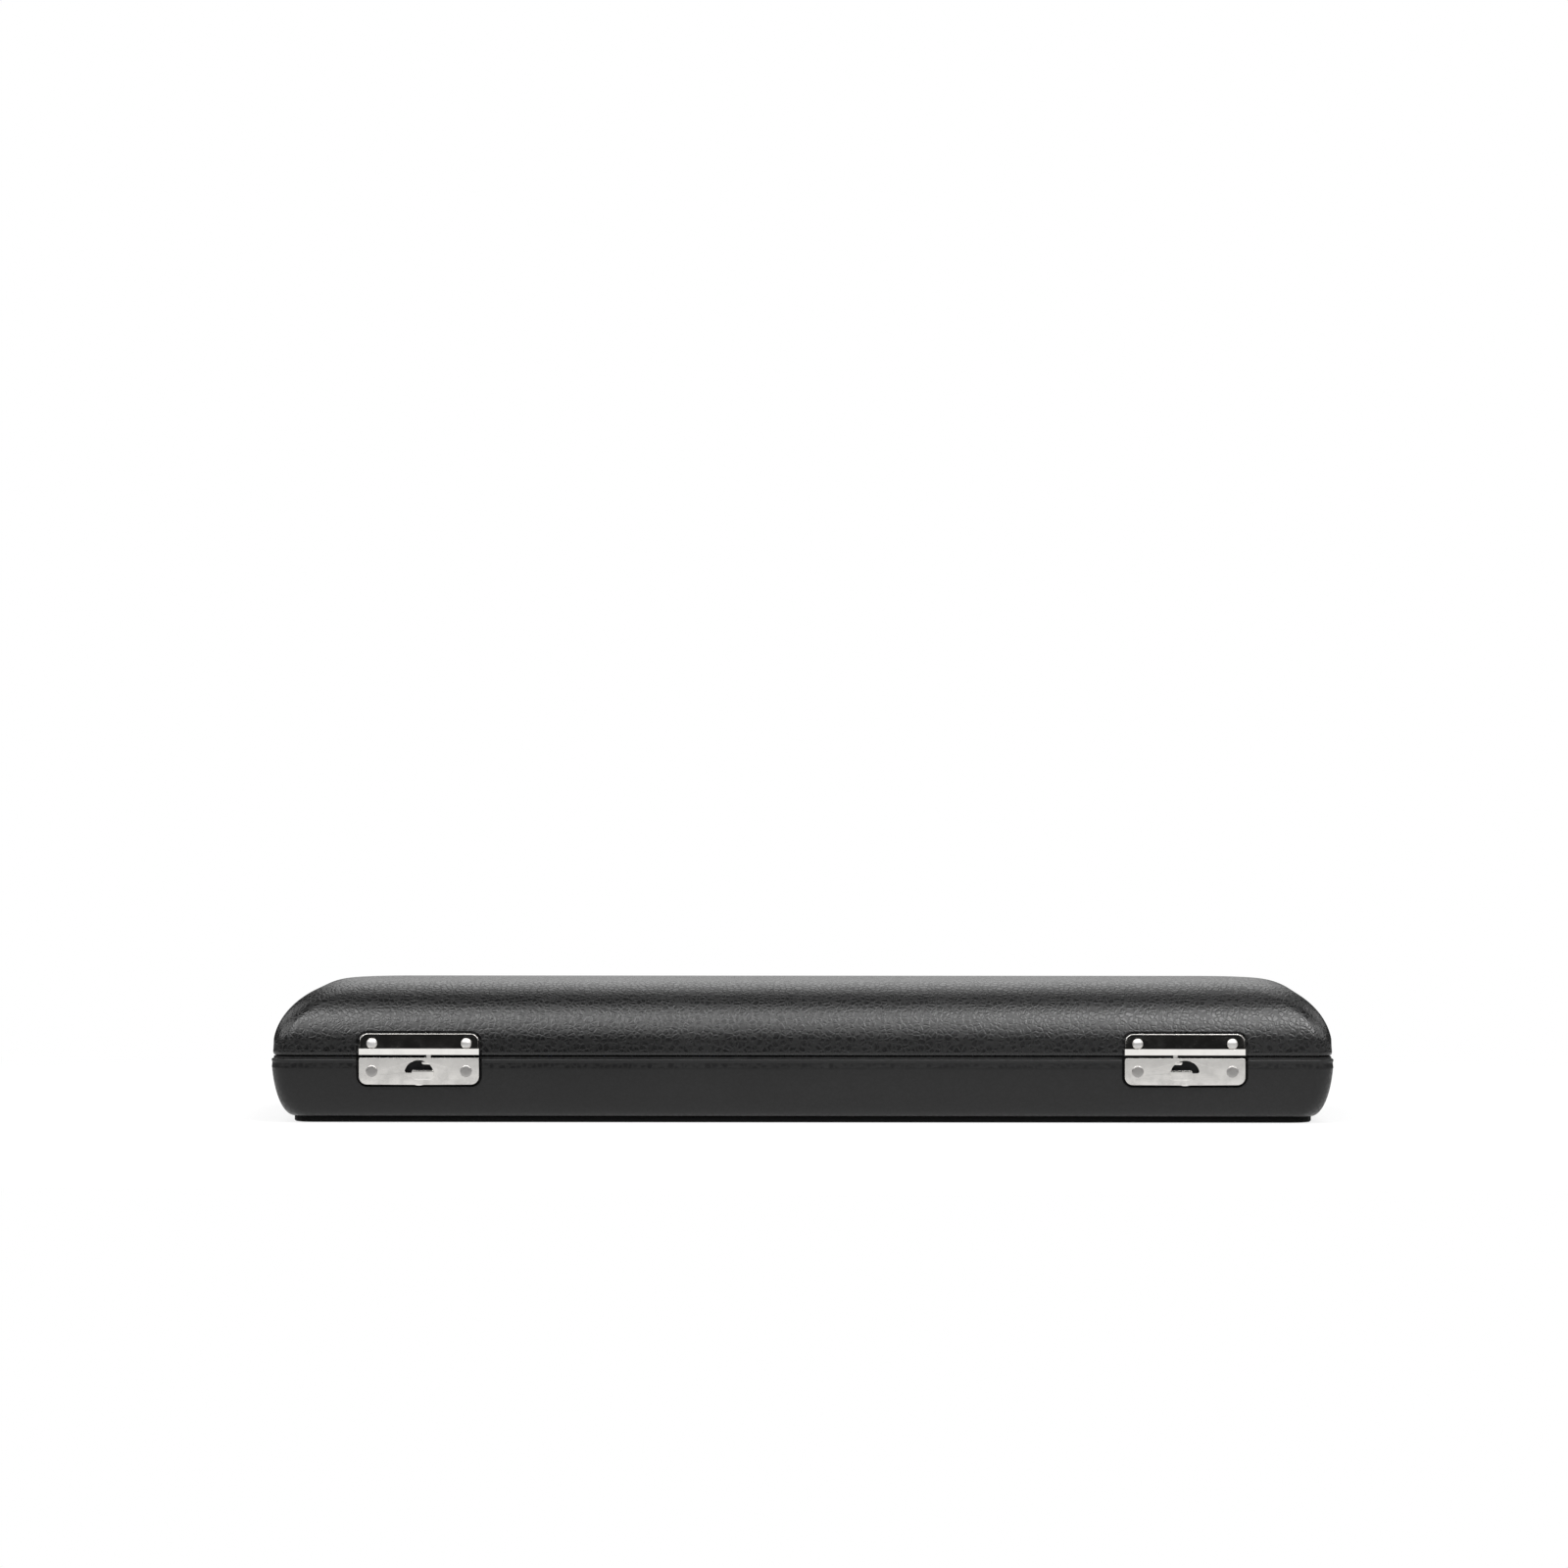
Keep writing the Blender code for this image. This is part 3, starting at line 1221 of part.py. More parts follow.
def main():
    """Builds the case closed, as it stands."""
    clear_scene()
    shop = Workshop()
    lid_axis = shop.axis("lid_axis", (0, HINGE_AXIS_Y, PARTING_MIDDLE))
    base_covers = [shop.part(base_shell(), "board"), shop.part(base_leather(), "leather")]
    shop.part(base_bottom_panel(), "panel")
    shop.part(base_valance(), "plush")
    shop.part(base_floor_pad(), "plush")
    bed(shop)
    shell = shop.part(lid_shell(), "board", lid_axis)
    covering = shop.part(lid_leather(), "leather", lid_axis)
    shop.part(lid_lining(), "plush", lid_axis)
    shop.part(lid_pad(), "plush", lid_axis)
    base_drills, lid_drills = [], []
    for side in latch_sides():
        height = BAND_LOW + BAND_HEIGHT / 2
        slide = shop.axis(f"latch_slide_{side[0]}", (side[1], -SLIDER_FRONT, height))
        latch_case(shop, side)
        latch_back_plate(shop, side)
        latch_spring(shop, side)
        latch_slider(shop, side, slide)
        latch_hook_plate(shop, side, lid_axis)
        in_base, in_lid = latch_rivets(shop, side, lid_axis)
        base_drills += in_base
        lid_drills += in_lid
    for name, middle_x in hinge_sides():
        hinge(shop, name, middle_x, lid_axis)
        base_drills += hinge_rivets(shop, name, middle_x, "base", None)
        lid_drills += hinge_rivets(shop, name, middle_x, "lid", lid_axis)
    base_tools = (base_seats(), gather("base_drills", base_drills))
    flat_seats, deep_seats = lid_seats()
    lid_tools = (deep_seats, gather("lid_drills", lid_drills))
    for tool in (*base_tools, flat_seats, *lid_tools):
        shop.tool(tool)
    for cover in base_covers:
        shop.cut(cover, *base_tools)
    shop.cut(shell, *lid_tools)
    shop.cut(covering, flat_seats, *lid_tools)


main()
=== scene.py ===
"""Piccolo case: the skins, metalwork and plush that are seen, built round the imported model.

Metres, +Z up, in the model's own frame: X along the case, -Y the front with the latches. Each
sub-assembly is a class that holds its sizes, makes its meshes and dresses them. Latch outlines are
drawn in u, which runs from the latch's middle towards the middle of the case.
"""

import json
import logging
import math
from dataclasses import dataclass, field
from enum import Enum
from typing import Callable, Iterable, Optional, Sequence, Union

import bmesh
import bpy
from mathutils import Matrix, Vector

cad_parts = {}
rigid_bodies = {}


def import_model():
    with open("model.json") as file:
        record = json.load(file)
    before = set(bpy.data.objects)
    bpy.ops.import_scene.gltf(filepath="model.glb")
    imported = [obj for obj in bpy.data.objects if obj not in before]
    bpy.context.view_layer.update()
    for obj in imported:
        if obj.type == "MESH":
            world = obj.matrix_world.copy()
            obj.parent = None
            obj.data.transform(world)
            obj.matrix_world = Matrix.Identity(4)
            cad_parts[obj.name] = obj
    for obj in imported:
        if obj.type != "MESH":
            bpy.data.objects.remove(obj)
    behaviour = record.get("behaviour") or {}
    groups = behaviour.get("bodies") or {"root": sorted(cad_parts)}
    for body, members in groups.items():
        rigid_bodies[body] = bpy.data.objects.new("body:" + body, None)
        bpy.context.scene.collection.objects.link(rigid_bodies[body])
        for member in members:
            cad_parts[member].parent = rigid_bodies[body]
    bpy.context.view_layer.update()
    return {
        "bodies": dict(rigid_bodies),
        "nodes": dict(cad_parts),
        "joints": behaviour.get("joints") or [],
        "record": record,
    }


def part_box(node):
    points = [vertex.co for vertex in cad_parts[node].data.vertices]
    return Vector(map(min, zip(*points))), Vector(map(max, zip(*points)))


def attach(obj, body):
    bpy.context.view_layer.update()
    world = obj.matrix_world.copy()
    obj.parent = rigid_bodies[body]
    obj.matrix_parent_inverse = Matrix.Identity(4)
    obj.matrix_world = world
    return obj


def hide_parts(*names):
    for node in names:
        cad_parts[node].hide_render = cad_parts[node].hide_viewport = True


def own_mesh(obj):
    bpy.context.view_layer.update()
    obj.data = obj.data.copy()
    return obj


LOG = logging.getLogger("piccolo_case")
Object = bpy.types.Object
BMesh = bmesh.types.BMesh
Point2 = tuple[float, float]
Point3 = tuple[float, float, float]
Aimed = tuple[Vector, Vector]
Value = Union["Signal", float, Sequence[float], None]

SIDES = {"left": 1, "right": -1}
WELD = 0.000002


class Body(Enum):
    """The bodies of the model that pieces ride on."""

    BASE = "base"
    LID = "lid"
    SLIDER_LEFT = "latch_slider_left"
    SLIDER_RIGHT = "latch_slider_right"


class Slot(Enum):
    """The record's material slots."""

    LEATHER = "leather"
    PLUSH = "plush"
    NICKEL = "nickel"
    SPRING_STEEL = "spring_steel"


class Operation(Enum):
    """How one closed mesh changes another."""

    CUT = "DIFFERENCE"
    JOIN = "UNION"


# Node trees


class Signal:
    """One output of a node, with the operators that the finishes use on it."""

    def __init__(self, tree: "Tree", socket: bpy.types.NodeSocket) -> None:
        """Wraps an output of one of the tree's nodes."""
        self.tree = tree
        self.socket = socket

    def maths(self, operation: str, other: Value = None, turned: bool = False) -> "Signal":
        """The result of a Math node on this value and another, or the other way about."""
        values = dict(enumerate((other, self) if turned else (self, other)))
        return self.tree.node("ShaderNodeMath", {"operation": operation}, values)

    def __add__(self, other: Value) -> "Signal":
        """The sum."""
        return self.maths("ADD", other)

    __radd__ = __add__

    def __mul__(self, other: Value) -> "Signal":
        """The product."""
        return self.maths("MULTIPLY", other)

    def __truediv__(self, other: Value) -> "Signal":
        """The quotient."""
        return self.maths("DIVIDE", other)

    def __sub__(self, other: Value) -> "Signal":
        """The difference."""
        return self.maths("SUBTRACT", other)

    def __rsub__(self, other: Value) -> "Signal":
        """The difference from a number."""
        return self.maths("SUBTRACT", other, turned=True)

    def __pow__(self, other: Value) -> "Signal":
        """The power."""
        return self.maths("POWER", other)

    def step(self, low: float, high: float) -> "Signal":
        """A smooth step from 0 at low to 1 at high."""
        values = {"Value": self, "From Min": low, "From Max": high}
        return self.tree.node("ShaderNodeMapRange", {"interpolation_type": "SMOOTHSTEP"}, values)


class Tree:
    """Builds a node tree of any kind, one node at a time."""

    def __init__(self, nodes: bpy.types.NodeTree) -> None:
        """Starts on a tree, which is emptied."""
        self.nodes = nodes
        nodes.nodes.clear()

    def node(
        self, kind: str, settings: Optional[dict] = None, values: Optional[dict] = None,
        output: Union[int, str] = 0,
    ) -> Optional[Signal]:
        """Adds a node.

        Args:
            kind: the node's type.
            settings: its properties, which are set first.
            values: its inputs by name or number: a number, a tuple, or a Signal to link.
            output: the output to return.

        Returns:
            The output, wrapped, if the node has any.
        """
        made = self.nodes.nodes.new(kind)
        for name, value in (settings or {}).items():
            setattr(made, name, value)
        for name, value in (values or {}).items():
            if isinstance(value, Signal):
                self.nodes.links.new(value.socket, made.inputs[name])
            elif value is not None:
                made.inputs[name].default_value = value
        return Signal(self, made.outputs[output]) if len(made.outputs) else None

    def parts(self, vector: Signal) -> list[Signal]:
        """The three parts of a vector."""
        split = self.node("ShaderNodeSeparateXYZ", {}, {0: vector}).socket.node
        return [Signal(self, output) for output in split.outputs]

    def rays(self) -> list[Signal]:
        """Whether a ray comes from the camera, and whether it is a mirrored one."""
        path = self.node("ShaderNodeLightPath").socket.node
        return [Signal(self, path.outputs[f"Is {kind} Ray"]) for kind in ("Camera", "Glossy")]


class Shade(Tree):
    """A material's tree, with the patterns that the finishes share. Scales count to the metre."""

    def coordinates(self) -> Signal:
        """The place on the object, in metres."""
        return self.node("ShaderNodeTexCoord", output="Object")

    def stretched(self, place: Signal, scale: Point3) -> Signal:
        """The place with its axes scaled: a pattern runs long where the scale is under 1."""
        return self.node("ShaderNodeMapping", {}, {"Vector": place, "Scale": scale})

    def noise(
        self, place: Signal, scale: float, detail: float = 2.0, rough: float = 0.5,
        output: Union[int, str] = 0,
    ) -> Signal:
        """Cloudy noise from 0 to 1, with finer layers by detail, as strong as rough says."""
        values = {"Vector": place, "Scale": scale, "Detail": detail, "Roughness": rough}
        return self.node("ShaderNodeTexNoise", {}, values, output)

    def cells(self, place: Signal, scale: float, width: float) -> Signal:
        """Cells of even size: 0 on their edges, rising to 1 over a width."""
        settings, values = {"feature": "DISTANCE_TO_EDGE"}, {"Vector": place, "Scale": scale}
        return self.node("ShaderNodeTexVoronoi", settings, values).step(0.0, width)

    def vector(
        self, operation: str, first: Value, second: Value = None, scale: Value = None,
        output: int = 0,
    ) -> Signal:
        """The result of a Vector Math node on one vector or two, or on a vector and a scale."""
        values = {0: first, 1: second, "Scale": scale}
        return self.node("ShaderNodeVectorMath", {"operation": operation}, values, output)

    def warped(self, place: Signal, scale: float, reach: float) -> Signal:
        """The place, moved about by noise.

        Args:
            place: the coordinates.
            scale: how many swirls a metre holds.
            reach: how far it is moved.

        Returns:
            The moved coordinates.
        """
        swirl = self.noise(place, scale, 1.0, output="Color")
        centred = self.vector("SUBTRACT", swirl, (0.5, 0.5, 0.5))
        return self.vector("ADD", place, self.vector("SCALE", centred, scale=reach * 2))

    def mix(self, factor: Value, first: Value, second: Value) -> Signal:
        """Mixes two colours.

        Args:
            factor: 0 for the first and 1 for the second.
            first: a colour.
            second: a colour.

        Returns:
            The mixed colour.
        """
        ends = [end if isinstance(end, Signal) else (*end, 1.0) for end in (first, second)]
        values = {0: factor, 6: ends[0], 7: ends[1]}
        return self.node("ShaderNodeMix", {"data_type": "RGBA"}, values, 2)

    def bump(self, height: Signal, depth: float, under: Optional[Signal] = None) -> Signal:
        """The normal of a relief, depth metres deep where its height is 1, over another relief."""
        values = {"Strength": 1.0, "Distance": depth, "Height": height, "Normal": under}
        return self.node("ShaderNodeBump", {}, values)

    def surface(
        self, colour: Signal, roughness: Value, normal: Optional[Signal], others: dict
    ) -> None:
        """Ends the tree with a Principled shader that has these inputs."""
        values = {"Base Color": colour, "Roughness": roughness, "Normal": normal, **others}
        shader = self.node("ShaderNodeBsdfPrincipled", {}, values)
        self.node("ShaderNodeOutputMaterial", {}, {"Surface": shader})


# Finishes


@dataclass(frozen=True)
class Finish:
    """What every finish has: a name and a way to become a material."""

    name: str

    def paint(self, tree: Shade) -> None:
        """Fills the material's tree; each finish has its own way."""
        raise NotImplementedError

    def material(self) -> bpy.types.Material:
        """The material of this finish, made once.

        Returns:
            The material.
        """
        known = bpy.data.materials.get(self.name)
        if known:
            return known
        made = bpy.data.materials.new(self.name)
        made.use_nodes = True
        self.paint(Shade(made.node_tree))
        return made


@dataclass(frozen=True)
class Leather(Finish):
    """Black grained leather, pressed over the board."""

    colour: Point3 = (0.004, 0.004, 0.0042)
    # Painted shade: the grain's creases are a little darker.
    crease_shade_colour: Point3 = (0.003, 0.003, 0.003)
    rubbed_colour: Point3 = (0.011, 0.011, 0.0112)
    roughness: float = 0.23
    pebble_scale: float = 500.0
    pebble_depth: float = 0.0001
    pebble_warp: float = 0.0005
    wrinkle_scale: float = 300.0
    wave_scale: float = 22.0
    wave_depth: float = 0.0003
    gloss: float = 0.5

    def paint(self, tree: Shade) -> None:
        """Pebbles in warped cells, fine wrinkles over them and slow waves under them.

        Args:
            tree: the tree to fill.
        """
        place = tree.coordinates()
        moved = tree.warped(place, self.pebble_scale * 0.6, self.pebble_warp)
        edge = tree.cells(moved, self.pebble_scale, 0.22)
        fine = tree.cells(moved, self.pebble_scale * 2.3, 0.3)
        wrinkle = tree.noise(moved, self.wrinkle_scale, 5.0, 0.62)
        cloud = tree.noise(place, 9.0, 3.0, 0.6)
        slow = tree.bump(tree.noise(place, self.wave_scale), self.wave_depth)
        grain = tree.bump(edge * 0.45 + fine * 0.15 + wrinkle * 1.2, self.pebble_depth, slow)
        # Painted shade: the cells' edges, the grain's creases, take the darker colour.
        crease_shaded_colour = tree.mix(edge, self.crease_shade_colour, self.colour)
        colour = tree.mix(cloud.step(0.3, 0.75) * 0.35, crease_shaded_colour, self.rubbed_colour)
        roughness = self.roughness + (1 - edge) * 0.16 + (cloud - 0.5) * 0.12
        tree.surface(colour, roughness, grain, {"Specular IOR Level": self.gloss})


@dataclass(frozen=True)
class Plush(Finish):
    """Short dark plush, brushed in patches."""

    colour: Point3 = (0.015, 0.019, 0.050)
    light_colour: Point3 = (0.028, 0.034, 0.082)
    # Painted shade: the colour of the pile's low spots.
    pile_shade_colour: Point3 = (0.008, 0.010, 0.028)
    sheen_colour: Point3 = (0.35, 0.40, 0.75)
    pile_scale: float = 2600.0
    pile_depth: float = 0.0003

    def paint(self, tree: Shade) -> None:
        """A fine pile, with soft patches where the nap lies another way.

        Args:
            tree: the tree to fill.
        """
        place = tree.coordinates()
        pile = tree.noise(place, self.pile_scale, 3.0, 0.7)
        tufts = tree.noise(place, self.pile_scale * 0.28)
        patch = tree.noise(place, 38.0, 3.0, 0.55)
        brushed = tree.mix(patch.step(0.35, 0.7), self.colour, self.light_colour)
        # Painted shade: where the pile's relief is low, the colour darkens.
        colour = tree.mix(pile.step(0.25, 0.65), self.pile_shade_colour, brushed)
        relief = tree.bump(pile * 0.7 + tufts * 0.6, self.pile_depth)
        sheen = {
            "Specular IOR Level": 0.2, "Sheen Weight": 0.35, "Sheen Roughness": 0.45,
            "Sheen Tint": (*self.sheen_colour, 1.0),
        }
        tree.surface(colour, 0.88 + (patch - 0.5) * 0.14, relief, sheen)


# Dark steel: the colour of the latch's back plate, and painted shade on the slider behind the
# window.
DARK_STEEL_AND_SHADE = (0.03, 0.03, 0.031)


@dataclass(frozen=True)
class Nickel(Finish):
    """Nickel plate over stamped steel, polished and lightly handled.

    Where a y is given, the metal behind it is painted dark: painted shade inside the latch.
    """

    colour: Point3 = (0.84, 0.82, 0.79)
    roughness: float = 0.12
    painted_shade_from: Optional[float] = None
    dent_depth: float = 0.00006
    hair_depth: float = 0.0000012

    def paint(self, tree: Shade) -> None:
        """Hair scratches along the case, faint smudges and a soft unevenness of the stamping.

        Args:
            tree: the tree to fill.
        """
        place = tree.coordinates()
        hair = tree.noise(tree.stretched(place, (0.06, 1.0, 1.0)), 5200.0, 2.0, 0.6)
        smudge = tree.noise(place, 240.0, 3.0, 0.6)
        worn_colour = [channel * 0.9 for channel in self.colour]
        colour = tree.mix(smudge.step(0.35, 0.8) * 0.5, self.colour, worn_colour)
        if self.painted_shade_from is not None:
            # Painted shade: the slider behind the given y is darkened, since the inside of the
            # latch lies in shade.
            behind = tree.parts(place)[1].step(self.painted_shade_from, self.painted_shade_from + 0.0004)
            colour = tree.mix(behind, colour, DARK_STEEL_AND_SHADE)
        dents = tree.bump(tree.noise(place, 95.0, 1.0), self.dent_depth)
        relief = tree.bump(hair, self.hair_depth, dents)
        roughness = self.roughness + smudge.step(0.3, 0.8) * 0.10 + (hair - 0.5) * 0.08
        tree.surface(colour, roughness, relief, {"Metallic": 1.0})


@dataclass(frozen=True)
class SpringWire(Finish):
    """Drawn spring wire."""

    colour: Point3 = (0.50, 0.50, 0.51)
    marks_colour: Point3 = (0.36, 0.36, 0.37)

    def paint(self, tree: Shade) -> None:
        """Grey steel with drawing marks.

        Args:
            tree: the tree to fill.
        """
        marks = tree.noise(tree.coordinates(), 3800.0)
        colour = tree.mix(marks, self.colour, self.marks_colour)
        tree.surface(colour, 0.24 + marks * 0.14, None, {"Metallic": 1.0})


@dataclass(frozen=True)
class Board(Finish):
    """Board of the carcass, stained black; the black also stands in for the shade in the gaps where
    the board shows.
    """

    colour: Point3 = (0.009, 0.009, 0.010)
    streak_colour: Point3 = (0.014, 0.013, 0.013)
    pore_colour: Point3 = (0.006, 0.005, 0.005)
    pore_depth: float = 0.00006

    def paint(self, tree: Shade) -> None:
        """Long grain with brown streaks and dark pores.

        Args:
            tree: the tree to fill.
        """
        along = tree.stretched(tree.coordinates(), (0.05, 1.0, 1.0))
        streak = tree.noise(along, 260.0, 4.0, 0.6)
        pore = tree.noise(along, 1500.0)
        wood = tree.mix(streak.step(0.3, 0.7), self.colour, self.streak_colour)
        colour = tree.mix(pore.step(0.55, 0.75) * 0.5, wood, self.pore_colour)
        relief = tree.bump(pore, self.pore_depth)
        tree.surface(colour, 0.8 + (streak - 0.5) * 0.2, relief, {"Specular IOR Level": 0.15})


@dataclass(frozen=True)
class CoveredPanel(Finish):
    """The matt covering of the panel under the case, near black and low in gloss: partly its own
    colour and partly painted shade under the case.
    """

    colour: Point3 = (0.0025, 0.0025, 0.0026)
    scuff_colour: Point3 = (0.010, 0.010, 0.0104)
    grain_depth: float = 0.00005

    def paint(self, tree: Shade) -> None:
        """A fine pressed grain, scuffed where it stands.

        Args:
            tree: the tree to fill.
        """
        place = tree.coordinates()
        scuff = tree.noise(tree.stretched(place, (0.4, 1.0, 1.0)), 60.0, 4.0, 0.65)
        worn = scuff.step(0.56, 0.72)
        colour = tree.mix(worn * 0.5, self.colour, self.scuff_colour)
        relief = tree.bump(tree.cells(place, 1500.0, 0.3), self.grain_depth)
        tree.surface(colour, 0.6 + worn * 0.2, relief, {"Specular IOR Level": 0.1})


LID_LEATHER = Leather("lid_leather_finish")
BASE_LEATHER = Leather(
    "base_leather_finish", colour=(0.0025, 0.0025, 0.0027), roughness=0.34, pebble_depth=0.000025,
    gloss=0.38,
)
PLUSH = Plush("plush_finish")
NICKEL = Nickel("nickel_finish")
HOOK_NICKEL = Nickel("hook_nickel_finish", roughness=0.07)
# The slider is painted dark behind y = -0.0491, as painted shade inside the latch.
SLIDER_NICKEL = Nickel("slider_nickel_finish", painted_shade_from=-0.0491)
RIVET_NICKEL = Nickel("rivet_nickel_finish", colour=(0.62, 0.61, 0.60), roughness=0.45)
CASE_RIVET_NICKEL = Nickel("case_rivet_nickel_finish", colour=(0.38, 0.37, 0.36), roughness=0.38)
LATCH_INSIDE = Nickel("latch_inside_finish", colour=DARK_STEEL_AND_SHADE, roughness=0.5)
HINGE_NICKEL = Nickel("hinge_nickel_finish", roughness=0.24)
SPRING_WIRE = SpringWire("spring_wire_finish")
BOARD = Board("board_finish")
COVERED_PANEL = CoveredPanel("covered_panel_finish")


# Mesh making


def arc(centre: Point2, radius: float, start: float, end: float, steps: int) -> list[Point2]:
    """Points along an arc, both ends among them.

    Args:
        centre: its centre.
        radius: its radius.
        start: the first angle in degrees.
        end: the last angle in degrees.
        steps: how many steps it has.

    Returns:
        The points.
    """
    turns = [math.radians(start + (end - start) * i / steps) for i in range(steps + 1)]
    return [(centre[0] + radius * math.cos(t), centre[1] + radius * math.sin(t)) for t in turns]


def rounded_outline(
    low: Point2, high: Point2, low_radius: float, high_radius: float, steps: int = 10
) -> list[Point2]:
    """A rectangle with one radius on its two lower corners and one on its two upper ones.

    Args:
        low: its lower left corner.
        high: its upper right corner.
        low_radius: the radius at the bottom.
        high_radius: the radius at the top.
        steps: the steps of a corner.

    Returns:
        The closed outline.
    """
    points: list[Point2] = []
    for x, y, sign_x, sign_y, start in (
        (high[0], high[1], -1, -1, 0), (low[0], high[1], 1, -1, 90), (low[0], low[1], 1, 1, 180),
        (high[0], low[1], -1, 1, 270),
    ):
        radius = low_radius if sign_y > 0 else high_radius
        if radius > 0:
            centre = (x + sign_x * radius, y + sign_y * radius)
            points += arc(centre, radius, start, start + 90, steps)
        else:
            points.append((x, y))
    return points


def put(name: str, data: Optional[bpy.types.ID]) -> Object:
    """Puts a new object into the scene.

    Args:
        name: its name.
        data: its mesh, curve, light or camera.

    Returns:
        The object.
    """
    obj = bpy.data.objects.new(name, data)
    bpy.context.scene.collection.objects.link(obj)
    return obj


def put_mesh(name: str, bm: BMesh) -> Object:
    """Puts a bmesh into the scene as it is.

    Args:
        name: the object's name.
        bm: the mesh, which is freed.

    Returns:
        The object.
    """
    mesh = bpy.data.meshes.new(name)
    bm.to_mesh(mesh)
    bm.free()
    return put(name, mesh)


class Bench:
    """Makes meshes and turns them into finished pieces."""

    def __init__(self) -> None:
        """Starts with no pieces."""
        self.pieces: list[Object] = []

    def mesh(self, name: str, bm: BMesh) -> Object:
        """An object from a bmesh, with its doubles merged and its faces turned outwards.

        Args:
            name: the object's name.
            bm: the mesh, which is freed.

        Returns:
            The object.
        """
        bmesh.ops.remove_doubles(bm, verts=bm.verts, dist=WELD)
        bmesh.ops.recalc_face_normals(bm, faces=bm.faces)
        return put_mesh(name, bm)

    def evaluated(self, obj: Object) -> bpy.types.Mesh:
        """A copy of an object's mesh with its modifiers applied.

        Args:
            obj: the object.

        Returns:
            The mesh.
        """
        bpy.context.view_layer.update()
        graph = bpy.context.evaluated_depsgraph_get()
        return bpy.data.meshes.new_from_object(obj.evaluated_get(graph))

    def settle(self, obj: Object) -> Object:
        """Applies an object's modifiers and its place to its mesh.

        Args:
            obj: the object, which is replaced.

        Returns:
            A plain mesh object of the same name at the origin.
        """
        mesh = self.evaluated(obj)
        mesh.transform(obj.matrix_world)
        name = obj.name
        bpy.data.objects.remove(obj, do_unlink=True)
        bm = bmesh.new()
        bm.from_mesh(mesh)
        bpy.data.meshes.remove(mesh)
        return self.mesh(name, bm)

    def combine(self, obj: Object, others: Iterable[Object], operation: Operation) -> Object:
        """Cuts pieces out of an object, or joins them to it; they are used up.

        Args:
            obj: the object.
            others: the cutters or the pieces to join.
            operation: what is done.

        Returns:
            The new object.
        """
        used = list(others)
        for other in used:
            modifier = obj.modifiers.new(other.name, "BOOLEAN")
            modifier.operation = operation.value
            modifier.solver = "EXACT"
            modifier.object = other
        made = self.settle(obj)
        for other in used:
            bpy.data.objects.remove(other, do_unlink=True)
        return made

    def covered(self, obj: Object, voxel: float) -> None:
        """Wraps a mesh in an even skin, as a modifier.

        Args:
            obj: the object.
            voxel: the size of the skin's faces.
        """
        remesh = obj.modifiers.new("cover", "REMESH")
        remesh.mode = "VOXEL"
        remesh.voxel_size = voxel

    def loft(self, name: str, rings: Sequence[Sequence[Point3]], closed: bool = False) -> Object:
        """A solid through rings of equal count.

        Args:
            name: the object's name.
            rings: the rings, in order.
            closed: whether the last ring joins the first, in place of two caps.

        Returns:
            The object.
        """
        bm = bmesh.new()
        levels = [[bm.verts.new(point) for point in ring] for ring in rings]
        pairs = list(zip(levels, levels[1:]))
        if closed:
            pairs.append((levels[-1], levels[0]))
        else:
            bm.faces.new(levels[0])
            bm.faces.new(levels[-1])
        for lower, upper in pairs:
            for i, start in enumerate(lower):
                j = (i + 1) % len(lower)
                bm.faces.new((start, lower[j], upper[j], upper[i]))
        return self.mesh(name, bm)

    def box(self, name: str, low: Point3, high: Point3) -> Object:
        """A block between two corners.

        Args:
            name: the object's name.
            low: its lowest corner.
            high: its highest corner.

        Returns:
            The object.
        """
        start, end = Vector(low), Vector(high)
        place = Matrix.Translation((start + end) / 2) @ Matrix.Diagonal((*(end - start), 1))
        bm = bmesh.new()
        bmesh.ops.create_cube(bm, size=1, matrix=place)
        return self.mesh(name, bm)

    def plate(
        self, name: str, outlines: Sequence[Sequence[Point2]], thickness: float, place: Matrix,
        edge: float = 0.0,
    ) -> Object:
        """A flat plate from closed outlines, with rounded edges if asked.

        Args:
            name: the object's name.
            outlines: the first is its edge and the others are its holes.
            thickness: how thick it is.
            place: takes the outlines' plane and its middle to their place.
            edge: the radius of its edges.

        Returns:
            The object.
        """
        curve = bpy.data.curves.new(name, "CURVE")
        curve.dimensions = "2D"
        curve.fill_mode = "BOTH"
        curve.extrude = thickness / 2 - edge
        curve.bevel_depth = edge
        curve.offset = -edge
        curve.bevel_resolution = 2
        for outline in outlines:
            spline = curve.splines.new("POLY")
            spline.points.add(len(outline) - 1)
            for point, (x, y) in zip(spline.points, outline):
                point.co = (x, y, 0, 1)
            spline.use_cyclic_u = True
        obj = put(name, curve)
        obj.matrix_world = place
        return self.settle(obj)

    def rod(self, name: str, radius: float, start: Point3, end: Point3, sides: int = 40) -> Object:
        """A cylinder along X.

        Args:
            name: the object's name.
            radius: its radius.
            start: the middle of one end.
            end: the middle of the other.
            sides: its number of sides.

        Returns:
            The object.
        """
        first, last = Vector(start), Vector(end)
        place = Matrix.Translation((first + last) / 2) @ Matrix.Rotation(math.pi / 2, 4, "Y")
        sizes = {"radius1": radius, "radius2": radius, "depth": (last - first).length}
        bm = bmesh.new()
        bmesh.ops.create_cone(bm, cap_ends=True, segments=sides, matrix=place, **sizes)
        return self.mesh(name, bm)

    def weigh_normals(self, obj: Object) -> None:
        """Lets the large faces rule the shading, so that flat ones stay flat beside their edges.

        Args:
            obj: the object, whose mesh is replaced.
        """
        obj.modifiers.new("normals", "WEIGHTED_NORMAL").keep_sharp = True
        mesh = self.evaluated(obj)
        obj.modifiers.clear()
        obj.data = mesh

